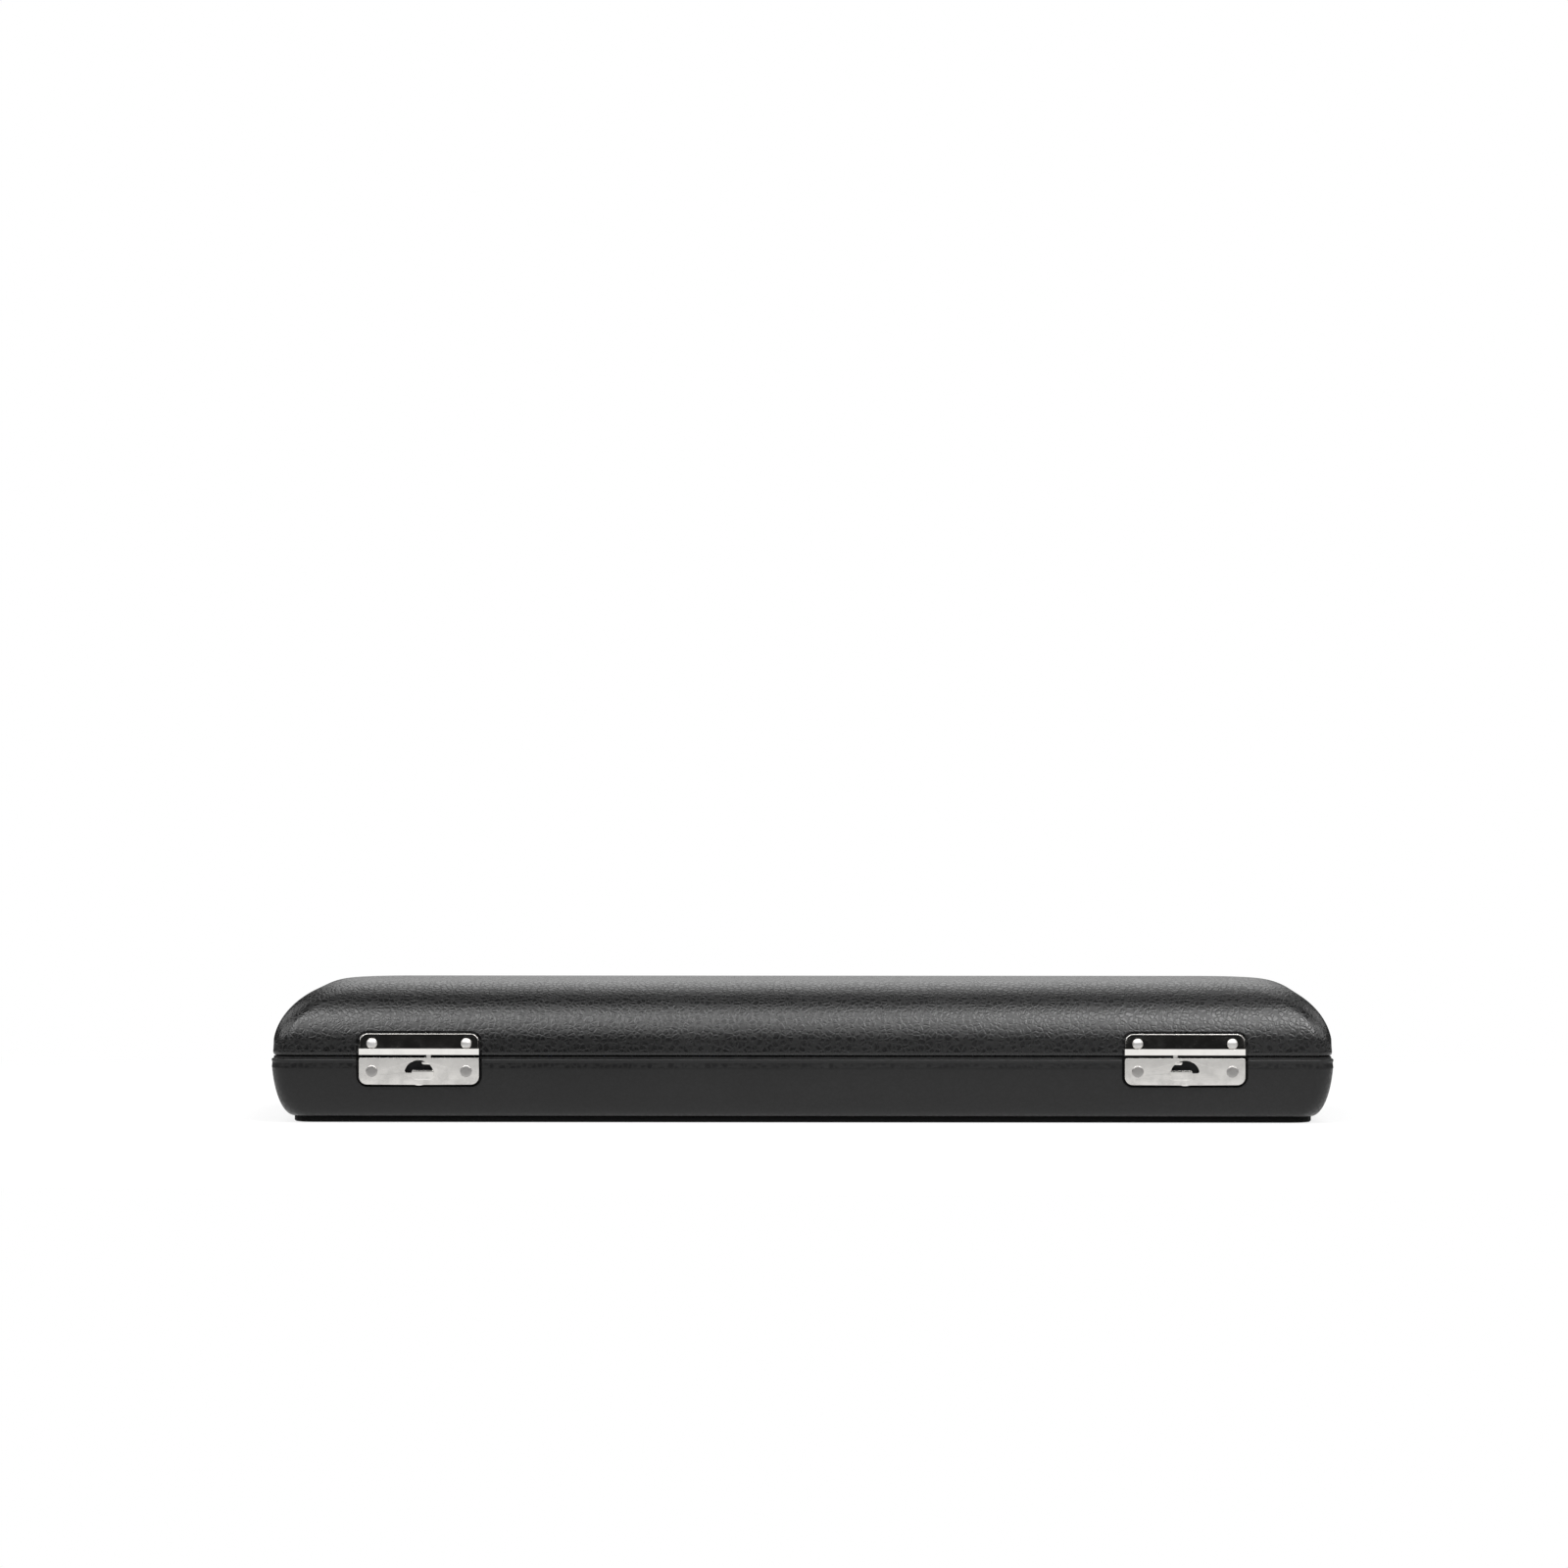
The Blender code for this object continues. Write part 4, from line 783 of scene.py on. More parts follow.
    def finish(
        self, obj: Object, finish: Finish, body: Body, slot: Slot, stands_for: Sequence[str],
        sharp: float = 38.0,
    ) -> Object:
        """Dresses a finished piece and ties it to its body.

        Args:
            obj: the piece, its place in its mesh.
            finish: what it is dressed in.
            body: what it moves with.
            slot: the record's slot for it; not used.
            stands_for: the model's nodes that it stands for.
            sharp: edges over this angle stay sharp, in degrees.

        Returns:
            The piece.
        """
        obj.data.shade_smooth()
        obj.data.set_sharp_from_angle(angle=math.radians(sharp))
        self.weigh_normals(obj)
        obj.data.materials.clear()
        obj.data.materials.append(finish.material())
        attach(obj, body.value)
        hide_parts(*stands_for)
        self.pieces.append(obj)
        LOG.info("%s: %d faces, rides on %s", obj.name, len(obj.data.polygons), body.value)
        return obj

    def metal(
        self, obj: Object, finish: Finish, body: Body, node: str, sharp: float = 30.0
    ) -> Object:
        """Finishes a nickel piece that stands for one node."""
        return self.finish(obj, finish, body, Slot.NICKEL, [node], sharp)

    def plush(self, obj: Object, body: Body, node: str, sharp: float = 60.0) -> Object:
        """Finishes a plush piece that stands for one node."""
        return self.finish(obj, PLUSH, body, Slot.PLUSH, [node], sharp)


# Geometry node trees


class GrowthTree(Tree):
    """A Geometry Nodes tree with named inputs, and the pieces that it makes."""

    def __init__(self, bench: Bench, name: str, inputs: dict[str, str]) -> None:
        """Makes the group with its sockets.

        Args:
            bench: where the tree's pieces are made.
            name: the group's name.
            inputs: the kind of each input by its name, after the geometry.
        """
        group = bpy.data.node_groups.new(name, "GeometryNodeTree")
        face = group.interface
        self.sockets = {}
        for label, kind in {"Geometry": "Geometry", **inputs, "Material": "Material"}.items():
            socket = face.new_socket(label, in_out="INPUT", socket_type=f"NodeSocket{kind}")
            self.sockets[label] = socket.identifier
        face.new_socket("Geometry", in_out="OUTPUT", socket_type="NodeSocketGeometry")
        super().__init__(group)
        self.bench = bench
        entry = group.nodes.new("NodeGroupInput")
        self.inputs = {socket.name: Signal(self, socket) for socket in entry.outputs if socket.name}

    def close(self, geometry: Signal) -> None:
        """Ends the tree in Realize Instances and Set Material.

        Args:
            geometry: what the tree has made.
        """
        real = self.node("GeometryNodeRealizeInstances", {}, {"Geometry": geometry})
        values = {"Geometry": real, "Material": self.inputs["Material"]}
        dressed = self.node("GeometryNodeSetMaterial", {}, values)
        self.node("NodeGroupOutput", {}, {0: dressed})

    def grow(self, seed: Object, finish: Finish, values: dict) -> Object:
        """Runs the tree on an object.

        Args:
            seed: the object with the points or the path, which is used up.
            finish: what the piece is made of.
            values: the other inputs by name.

        Returns:
            A plain mesh of the seed's name.
        """
        modifier = seed.modifiers.new(seed.name, "NODES")
        modifier.node_group = self.nodes
        for label, value in {**values, "Material": finish.material()}.items():
            modifier[self.sockets[label]] = value
        return self.bench.settle(seed)


class RivetTree(GrowthTree):
    """Puts a domed rivet head on each point, along the point's own direction."""

    segments = 40
    rings = 24

    def __init__(self, bench: Bench) -> None:
        """Builds the tree."""
        inputs = {"Radius": "Float", "Rise": "Float", "Flatness": "Float"}
        super().__init__(bench, "rivet_heads", inputs)
        wire = self.inputs
        values = {"Segments": self.segments, "Rings": self.rings, "Radius": wire["Radius"]}
        ball = self.node("GeometryNodeMeshUVSphere", {}, values)
        x, y, z = self.parts(self.node("GeometryNodeInputPosition"))
        share = (x * x + y * y) ** 0.5 / wire["Radius"]
        inside = self.node("ShaderNodeClamp", {}, {"Value": 1 - share ** wire["Flatness"]})
        dome = inside ** 0.5 * wire["Rise"] * z.maths("GREATER_THAN", 0.0)
        high = self.node("ShaderNodeCombineXYZ", {}, {"X": x, "Y": y, "Z": dome})
        head = self.node("GeometryNodeSetPosition", {}, {"Geometry": ball, "Position": high})
        settings = {"data_type": "FLOAT_VECTOR"}
        aim = self.node("GeometryNodeInputNamedAttribute", settings, {"Name": "aim"})
        turn = self.node("FunctionNodeAlignRotationToVector", {"axis": "Z"}, {"Vector": aim})
        values = {"Points": wire["Geometry"], "Instance": head, "Rotation": turn}
        self.close(self.node("GeometryNodeInstanceOnPoints", {}, values))

    def heads(self, name: str, places: Sequence[Aimed], sizes: Point3, finish: Finish) -> Object:
        """Makes rivet heads.

        Args:
            name: the piece's name.
            places: where each head sits, and which way it faces.
            sizes: a head's radius, how far it stands up, and 2 for a dome or more for a flat top.
            finish: what it is made of.

        Returns:
            One mesh with all the heads.
        """
        bm = bmesh.new()
        for place, _ in places:
            bm.verts.new(place)
        seed = put_mesh(name, bm)
        aims = seed.data.attributes.new("aim", "FLOAT_VECTOR", "POINT")
        for i, (_, aim) in enumerate(places):
            aims.data[i].vector = aim
        return self.grow(seed, finish, dict(zip(("Radius", "Rise", "Flatness"), sizes)))


class WireTree(GrowthTree):
    """Sweeps a round wire along a path of edges."""

    def __init__(self, bench: Bench) -> None:
        """Builds the tree."""
        super().__init__(bench, "round_wire", {"Radius": "Float", "Sides": "Int"})
        wire = self.inputs
        path = self.node("GeometryNodeMeshToCurve", {}, {"Mesh": wire["Geometry"]})
        values = {"Resolution": wire["Sides"], "Radius": wire["Radius"]}
        section = self.node("GeometryNodeCurvePrimitiveCircle", {}, values)
        values = {"Curve": path, "Profile Curve": section, "Fill Caps": True}
        self.close(self.node("GeometryNodeCurveToMesh", {}, values))

    def sweep(
        self, name: str, points: Sequence[Vector], radius: float, finish: Finish, sides: int = 16
    ) -> Object:
        """Sweeps a wire.

        Args:
            name: the piece's name.
            points: the path.
            radius: the wire's radius.
            finish: what it is made of.
            sides: how many sides the wire has.

        Returns:
            The wire.
        """
        bm = bmesh.new()
        verts = [bm.verts.new(point) for point in points]
        for ends in zip(verts, verts[1:]):
            bm.edges.new(ends)
        return self.grow(put_mesh(name, bm), finish, {"Radius": radius, "Sides": sides})


# Sub-assemblies


@dataclass(frozen=True)
class CaseForm:
    """The outer sizes of the closed case, and rings on them."""

    length: float = 0.380
    depth: float = 0.097
    height: float = 0.0498
    rim: float = 0.023904
    parting: float = 0.0008
    setback: float = 0.0005
    corner: float = 0.0072
    inner_corner: float = 0.006
    base_across: float = 0.0076
    base_rest: float = 0.002
    lid_across: float = 0.0273
    lid_rest: float = 0.0022
    lid_corner_growth: float = 0.45
    leather: float = 0.001
    seat_gap: float = 0.0003
    wall: float = 0.0055
    panel: float = 0.0019
    valance_board: float = 0.0015
    ceiling: float = 0.003
    smallest_corner: float = 0.0012
    corner_steps: int = 12
    long_steps: int = 30
    short_steps: int = 8

    @property
    def lid_low(self) -> float:
        """The height of the lid's lower edge."""
        return self.rim + self.parting

    @property
    def base_fall(self) -> float:
        """How far down the rounding of the base's side goes."""
        return self.rim - self.base_rest

    @property
    def lid_rise(self) -> float:
        """How far up the rounding of the lid's side goes."""
        return self.height - self.lid_low - self.lid_rest

    @property
    def lid_start(self) -> float:
        """The height that the rounding of the lid's side starts at."""
        return self.lid_low + self.lid_rest

    @property
    def cover(self) -> float:
        """The leather and the gap under it."""
        return self.leather + self.seat_gap

    @property
    def inner_inset(self) -> float:
        """How far in the base's inner wall is."""
        return self.cover + self.wall

    @property
    def valance_inset(self) -> float:
        """How far in the valance's outer face is."""
        return self.inner_inset + self.seat_gap

    @property
    def lid_inner_inset(self) -> float:
        """How far in the lid's inner wall is."""
        return self.valance_inset - 2 * self.setback

    def ring(self, half_x: float, half_y: float, radius: float, height: float) -> list[Point3]:
        """A rounded rectangle about Z, with points along its straight sides too.

        Args:
            half_x: half its length.
            half_y: half its depth.
            radius: the radius of its corners.
            height: its height.

        Returns:
            The ring.
        """
        radius = min(max(radius, self.smallest_corner), half_x, half_y)
        corners = (
            ((half_x - radius, half_y - radius), 0, self.long_steps),
            ((radius - half_x, half_y - radius), 90, self.short_steps),
            ((radius - half_x, radius - half_y), 180, self.long_steps),
            ((half_x - radius, radius - half_y), 270, self.short_steps),
        )
        outline: list[Point2] = []
        runs = []
        for centre, start, steps in corners:
            outline += arc(centre, radius, start, start + 90, self.corner_steps)
            runs.append((len(outline) - 1, steps))
        points: list[Point3] = []
        for i, (x, y) in enumerate(outline):
            points.append((x, y, height))
            for last, steps in runs:
                if i == last:
                    nx, ny = outline[(i + 1) % len(outline)]
                    points += [
                        (x + (nx - x) * k / steps, y + (ny - y) * k / steps, height)
                        for k in range(1, steps)
                    ]
        return points

    def base_ring(
        self, inset: float, height: float, corner: Optional[float] = None, setback: float = 0.0
    ) -> list[Point3]:
        """A ring of the base, drawn in from its widest outline.

        Args:
            inset: how far it is drawn in.
            height: its height.
            corner: its corner radius, if it isn't the outline's own.
            setback: how far the outline itself lies inside the base's.

        Returns:
            The ring.
        """
        radius = self.corner - inset if corner is None else corner
        half_x, half_y = self.length / 2 - setback - inset, self.depth / 2 - setback - inset
        return self.ring(half_x, half_y, radius, height)

    def lid_ring(self, inset: float, height: float, corner: Optional[float] = None) -> list[Point3]:
        """A ring of the lid, whose widest outline is set back from the base's."""
        return self.base_ring(inset, height, corner, self.setback)

    def base_side(self, offset: float, low: float, steps: int = 26) -> list[list[Point3]]:
        """Rings down the rounded side of the base.

        Args:
            offset: how far inside the outer surface they are.
            low: the height of the flat that they end at.
            steps: how many there are.

        Returns:
            The rings, from the top.
        """
        reach, fall = self.base_across - offset, self.base_fall - offset
        last = math.asin(min((self.rim - low) / fall, 1))
        rings = []
        for step in range(1, steps + 1):
            turn = last * step / steps
            inset = self.base_across - reach * math.cos(turn)
            height = self.rim - fall * math.sin(turn)
            rings.append(self.base_ring(inset, height, self.corner - offset))
        return rings

    def lid_side(self, offset: float, steps: int = 34) -> list[list[Point3]]:
        """Rings up the rounded side of the lid to its flat top.

        Args:
            offset: how far inside the outer surface they are.
            steps: how many there are.

        Returns:
            The rings, from the bottom.
        """
        reach, rise = self.lid_across - offset, self.lid_rise - offset
        rings = []
        for step in range(steps + 1):
            turn = math.pi / 2 * step / steps
            inset = self.lid_across - reach * math.cos(turn)
            growth = self.lid_corner_growth * self.lid_across * (1 - math.cos(turn))
            corner = self.corner - offset * math.cos(turn) + growth
            rings.append(self.lid_ring(inset, self.lid_start + rise * math.sin(turn), corner))
        return rings

    def lid_inner_corner(self, drawn_in: float, radius: Optional[float] = None) -> float:
        """The plan corner inside the lid, where its side is drawn in from the straight wall."""
        start = self.inner_corner if radius is None else radius
        return start + self.lid_corner_growth * drawn_in

    def lid_inner_inset_at(self, height: float, offset: float) -> float:
        """How far in the inside of the lid is at a height.

        Args:
            height: the height.
            offset: how far inside that surface is wanted.

        Returns:
            The inset.
        """
        reach = self.lid_across - self.lid_inner_inset - offset
        rise = self.lid_rise - self.cover - self.ceiling - offset
        share = min(max(height - self.lid_start, 0) / rise, 1)
        return self.lid_across - reach * math.sqrt(1 - share * share)


@dataclass
class Skins:
    """The leather of the base and of the lid, with the seats of the metalwork cut into it.

    A rim is a list of insets, each with its distance from the edge. The base's has a bead and a
    fine groove. The lid's hangs a little below its edge and is rolled.
    """

    bench: Bench
    form: CaseForm
    base_rim: tuple[Point2, ...] = (
        (0.00095, 0.0), (0.00083, 0.00008), (0.0008, 0.0007), (0.0006, 0.00088), (0.00025, 0.00099),
        (0.00006, 0.00112), (0.0, 0.0013), (0.0, 0.00145), (0.00009, 0.0018), (0.00022, 0.00215),
        (0.00025, 0.0023), (0.00021, 0.0027), (0.00008, 0.0036), (0.00003, 0.0041),
    )
    lid_rim: tuple[Point2, ...] = (
        (0.0008, 0.0), (0.0006, -0.0003), (0.0004, -0.00034), (0.00022, -0.0002), (0.0001, 0.00015),
        (0.00002, 0.00055), (0.0, 0.00075), (0.000015, 0.00095), (0.0001, 0.0018),
        (0.00015, 0.0023), (0.0002, 0.0032), (0.000262, 0.0049),
    )

    def turned(
        self, ring: Callable[..., list[Point3]], rim: Sequence[Point2], edge: float, way: int,
        inner_inset: float,
    ) -> list[list[Point3]]:
        """Rings over a turned rim and back behind it.

        Args:
            ring: makes a ring of this half from its inset and its height.
            rim: the rim.
            edge: the height of its edge.
            way: 1 where the covering goes up from the edge, and -1 where it goes down.
            inner_inset: how far in the leather is turned.

        Returns:
            The rings.
        """
        form = self.form
        back = edge + way * form.leather
        rings = [ring(inset, edge + way * drop) for inset, drop in reversed(rim)]
        rings += [ring(inner_inset, height, form.inner_corner) for height in (edge, back)]
        return rings + [ring(form.leather, back)]

    def base(self, cutters: Sequence[Object]) -> Object:
        """The covering of the base.

        Args:
            cutters: the seats to cut.

        Returns:
            The piece.
        """
        form = self.form
        low = form.panel + form.seat_gap
        # The rim takes the place of the first rings of the side, here and on the lid.
        rings = form.base_side(0, low)[:1:-1]
        rings += self.turned(form.base_ring, self.base_rim, form.rim, -1, form.inner_inset)
        rings += form.base_side(form.leather, low + form.leather)
        skin = self.bench.loft("base_leather_skin", rings)
        skin = self.bench.combine(skin, cutters, Operation.CUT)
        return self.bench.finish(skin, BASE_LEATHER, Body.BASE, Slot.LEATHER, ["base_leather"])

    def lid(self, cutters: Sequence[Object]) -> Object:
        """The covering of the lid.

        Args:
            cutters: the seats to cut.

        Returns:
            The piece.
        """
        form = self.form
        rings = form.lid_side(0)[:2:-1]
        rings += self.turned(form.lid_ring, self.lid_rim, form.lid_low, 1, form.lid_inner_inset)
        skin = self.bench.loft("lid_leather_skin", rings + form.lid_side(form.leather))
        skin = self.bench.combine(skin, cutters, Operation.CUT)
        return self.bench.finish(skin, LID_LEATHER, Body.LID, Slot.LEATHER, ["lid_leather"])


@dataclass
class FittedBed:
    """The plush linings and the blocks that make the places of the bed."""

    bench: Bench
    form: CaseForm
    frame: dict
    voxel: float = 0.0009
    smoothing: int = 10
    softness: float = 0.5
    lining_board: float = 0.0008
    lining_overlap: float = 0.0035
    lining_steps: int = 20
    roll_steps: int = 12
    soft_blocks: tuple[str, ...] = (
        "front_rail", "centre_rail", "rear_rail", "end_block_left", "end_block_right",
        "joint_divider", "pocket_divider", "saddle_body_left", "saddle_body_right",
        "saddle_head_left", "saddle_head_right", "saddle_rod_left", "saddle_rod_right",
    )

    def soft_copy(self, node: str) -> Object:
        """A covered block: the node's form with soft edges.

        Args:
            node: the model's node.

        Returns:
            The piece's mesh.
        """
        bm = bmesh.new()
        bm.from_mesh(self.frame["nodes"][node].data)
        obj = self.bench.mesh(f"{node}_plush", bm)
        self.bench.covered(obj, self.voxel)
        smooth = obj.modifiers.new("softened", "SMOOTH")
        smooth.factor = self.softness
        smooth.iterations = self.smoothing
        return self.bench.settle(obj)

    def valance(self) -> None:
        """The lining board round the base, with a rolled upper edge."""
        form = self.form
        low, top = (corner.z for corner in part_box("base_valance"))
        radius = form.valance_board / 2
        levels = [(0.0, low), (0.0, top - radius)]
        for step in range(1, self.roll_steps):
            turn = math.pi * step / self.roll_steps
            levels.append((radius * (1 - math.cos(turn)), top - radius + radius * math.sin(turn)))
        levels += [(form.valance_board, top - radius), (form.valance_board, low)]
        corner = form.inner_corner - form.seat_gap
        rings = [form.base_ring(form.valance_inset + i, z, corner - i) for i, z in levels]
        obj = self.bench.loft("base_valance_plush", rings, closed=True)
        self.bench.plush(obj, Body.BASE, "base_valance")

    def floor_pad(self) -> None:
        """The covered board on the floor of the base, with its edges turned over."""
        form = self.form
        low, high = (corner.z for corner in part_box("base_floor_pad"))
        radius = (high - low) * 0.45
        corner = form.inner_corner - form.seat_gap
        levels = [(radius, low), (0.0, low + radius), (0.0, high - radius)]
        levels += [(radius * 0.3, high - radius * 0.3), (radius, high)]
        rings = [form.base_ring(form.valance_inset + i, z, corner) for i, z in levels]
        obj = self.bench.loft("base_floor_pad_plush", rings)
        self.bench.plush(obj, Body.BASE, "base_floor_pad")

    def lid_lining(self) -> None:
        """The covered board round the inside of the lid, which ends behind the pad."""
        form = self.form
        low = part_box("lid_lining")[0].z
        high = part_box("lid_pad")[0].z + self.lining_overlap
        steps = self.lining_steps
        heights = [low + (high - low) * step / steps for step in range(steps + 1)]
        outer, inner = form.seat_gap, form.seat_gap + self.lining_board
        rings = []
        for offset, run in ((outer, heights), (inner, heights[::-1])):
            for z in run:
                inset = form.lid_inner_inset_at(z, offset)
                corner = form.lid_inner_corner(inset - offset - form.lid_inner_inset)
                rings.append(form.lid_ring(inset, z, corner))
        obj = self.bench.loft("lid_lining_plush", rings, closed=True)
        self.bench.plush(obj, Body.LID, "lid_lining")

    def build(self) -> None:
        """Makes the linings and covers each block of the bed."""
        self.floor_pad()
        self.valance()
        self.lid_lining()
        for block in self.soft_blocks:
            node = f"bed_{block}"
            self.bench.plush(self.soft_copy(node), Body.BASE, node)


@dataclass
class LidPad:
    """The stuffed pad under the ceiling of the lid."""

    bench: Bench
    form: CaseForm
    shrink: float = 0.0008
    voxel: float = 0.0025
    side_gap: float = 0.0004
    side_low: float = 0.0018
    glue_depth: float = 0.001
    glue_reach: float = 0.002
    sag: float = 0.0006
    cap: float = 0.0045
    pressure: float = 4.0
    mass: float = 0.3
    frames: int = 20
    crown: tuple[Point2, ...] = ((0.06, 0.3), (0.18, 0.6), (0.4, 0.85), (0.7, 1.0))

    def cage(self) -> Object:
        """The pad before it is stuffed, a little smaller than its place.

        Returns:
            The mesh.
        """
        form = self.form
        low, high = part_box("lid_pad")
        edge = low.z + self.side_low
        offset = form.seat_gap + self.shrink
        rings = []
        for share in (0.0, 0.25, 0.5, 0.75, 1.0):
            z = high.z - (high.z - edge - self.shrink) * share * share
            inset = form.lid_inner_inset_at(z, offset)
            corner = form.lid_inner_corner(inset - form.lid_inner_inset, form.corner)
            rings.append(form.lid_ring(inset, z, corner))
        side = form.lid_inner_inset_at(edge, offset)
        half = form.depth / 2 - form.setback - side
        for share, fall in self.crown:
            z = edge + self.shrink * (1 - fall)
            rings.append(form.lid_ring(side + half * share, z, corner))
        return self.bench.loft("lid_pad_cushion", rings)

    def stuff(self, obj: Object) -> None:
        """Swells the pad with cloth, held where it is glued to the ceiling and at its sides.

        Args:
            obj: the remeshed cage, whose vertices are moved.
        """
        scene = bpy.context.scene
        lowest, ceiling = (corner.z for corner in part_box("lid_pad"))
        start = [vertex.co.copy() for vertex in obj.data.vertices]
        glued = [
            i
            for i, place in enumerate(start)
            if place.z > ceiling - self.glue_depth or self.inside(place, self.glue_reach) != place
        ]
        held = obj.vertex_groups.new(name="glued")
        held.add(glued, 1.0, "REPLACE")
        cloth = obj.modifiers.new("cloth", "CLOTH")
        settings = cloth.settings
        settings.quality = 5
        settings.mass = self.mass
        settings.vertex_group_mass = held.name
        settings.use_pressure = True
        settings.uniform_pressure_force = self.pressure
        settings.effector_weights.gravity = 0
        cloth.point_cache.frame_start = 1
        cloth.point_cache.frame_end = self.frames
        for frame in range(1, self.frames + 1):
            scene.frame_set(frame)
        graph = bpy.context.evaluated_depsgraph_get()
        swollen = [vertex.co.copy() for vertex in obj.evaluated_get(graph).data.vertices]
        obj.modifiers.remove(cloth)
        obj.vertex_groups.clear()
        for vertex, first, last in zip(obj.data.vertices, start, swollen):
            move = last - first
            if move.length > self.cap:
                move.length = self.cap
            place = first + move
            place.z = min(max(place.z, lowest - self.sag), ceiling)
            vertex.co = self.inside(place, self.side_gap)
        scene.frame_set(1)

    def inside(self, place: Vector, gap: float) -> Vector:
        """Keeps a point of the pad off the lining.

        Args:
            place: the point.
            gap: how far off.

        Returns:
            The point, moved in where it was too far out.
        """
        form = self.form
        inset = form.lid_inner_inset_at(place.z, form.seat_gap + gap)
        half_x = form.length / 2 - form.setback - inset
        half_y = form.depth / 2 - form.setback - inset
        x = min(max(place.x, -half_x), half_x)
        y = min(max(place.y, -half_y), half_y)
        radius = form.lid_inner_corner(inset - form.lid_inner_inset, form.corner)
        over_x, over_y = abs(x) - half_x + radius, abs(y) - half_y + radius
        reach = math.hypot(over_x, over_y)
        if min(over_x, over_y) > 0 and reach > radius:
            x -= math.copysign(over_x * (1 - radius / reach), x)
            y -= math.copysign(over_y * (1 - radius / reach), y)
        return Vector((x, y, place.z))

    def build(self) -> None:
        """Makes the pad and ties it to the lid."""
        obj = self.cage()
        self.bench.covered(obj, self.voxel)
        obj = self.bench.settle(obj)
        self.stuff(obj)
        obj.modifiers.new("softened", "SMOOTH").iterations = 1
        finer = obj.modifiers.new("finer", "SUBSURF")
        finer.levels = finer.render_levels = 1
        obj = self.bench.plush(self.bench.settle(obj), Body.LID, "lid_pad", 80.0)


@dataclass(frozen=True)
class LatchForm:
    """Sizes of a slide latch: heights from the base's rim, fronts and backs from the case's middle.

    Outlines and corners are points in u and height.
    """

    spacing: float = 0.27322
    width: float = 0.0429
    top: float = -0.0004
    bottom: float = -0.0099
    corner: float = 0.0029
    top_corner: float = 0.0006
    front: float = 0.0492
    plate: float = 0.0009
    wall: float = 0.0006
    edge: float = 0.00006
    window_half: float = 0.0051
    window_low: float = -0.0057
    window_rise: float = 0.0045
    window_corner: float = 0.0004
    window_steps: int = 32
    nub_width: float = 0.003
    nub_drop: float = 0.00035
    nub_steps: int = 12

    seat: float = 0.0457
    seat_gap: float = 0.0003
    seat_margin: float = 0.0010
    seat_reach: float = 0.004
    seat_front: float = 0.0525

    slider_front: float = 0.0480
    slider_back: float = 0.0468
    slider_edge: float = 0.00008
    slider_outline: tuple[Point2, ...] = (
        (-0.00905, -0.0085), (0.0047, -0.0085), (0.0047, -0.0045), (-0.0025, -0.0045),
        (-0.0025, -0.0056), (-0.00645, -0.0056), (-0.00645, -0.0014), (0.0023, -0.0014),
        (0.0023, -0.0011), (0.0017, -0.0005), (-0.00905, -0.0005),
    )
    reach: float = 0.0502
    tab_plate: float = 0.0007
    tab_low: Point2 = (-0.0025, -0.0082)
    tab_high: Point2 = (0.0053, -0.0048)
    tab_corner: float = 0.0016
    tab_top_corner: float = 0.0005
    stem_low: Point2 = (-0.0023, -0.00535)
    stem_high: Point2 = (0.0045, -0.0049)
    overlap: float = 0.0003

    spring_start: float = -0.00915
    spring_end: float = -0.01375
    spring_height: float = -0.00705
    spring_swing: float = 0.0009
    spring_wire: float = 0.0002
    spring_limbs: int = 5
    spring_steps: int = 80
    spring_keep: float = 0.51

    hook_top: float = 0.0082
    hook_low: float = 0.0003
    hook_front: float = 0.0487
    hook_plate: float = 0.0008
    hook_corner: float = 0.003
    hook_outline: tuple[Point2, ...] = (
        (0.0009, -0.0017), (0.0009, -0.0023), (0.0014, -0.0028), (0.0037, -0.0028),
        (0.0042, -0.0023), (0.0042, 0.0022), (0.0026, 0.0022), (0.0026, -0.0017),
    )
    hook_room_low: Point2 = (0.0020, -0.0032)
    hook_room_high: Point2 = (0.0048, 0.0028)
    roll: float = 0.00013
    roll_low: float = 0.0009
    roll_inset: float = 0.0001
    roll_depth: float = 0.00004
    lip_low: float = 0.0007
    lip_height: float = 0.0022
    lip_depth: float = 0.0014
    lip_lean: float = 0.00018
    lip_edge: float = 0.00008

    rivet_place: float = 0.01685
    rivet_height: float = -0.0051
    rivet_head: Point3 = (0.0021, 0.00045, 5.0)
    hook_rivet_height: float = 0.0047
    hook_rivet_head: Point3 = (0.0019, 0.0013, 2.2)


FACING_FRONT = Matrix.Rotation(math.pi / 2, 4, "X")


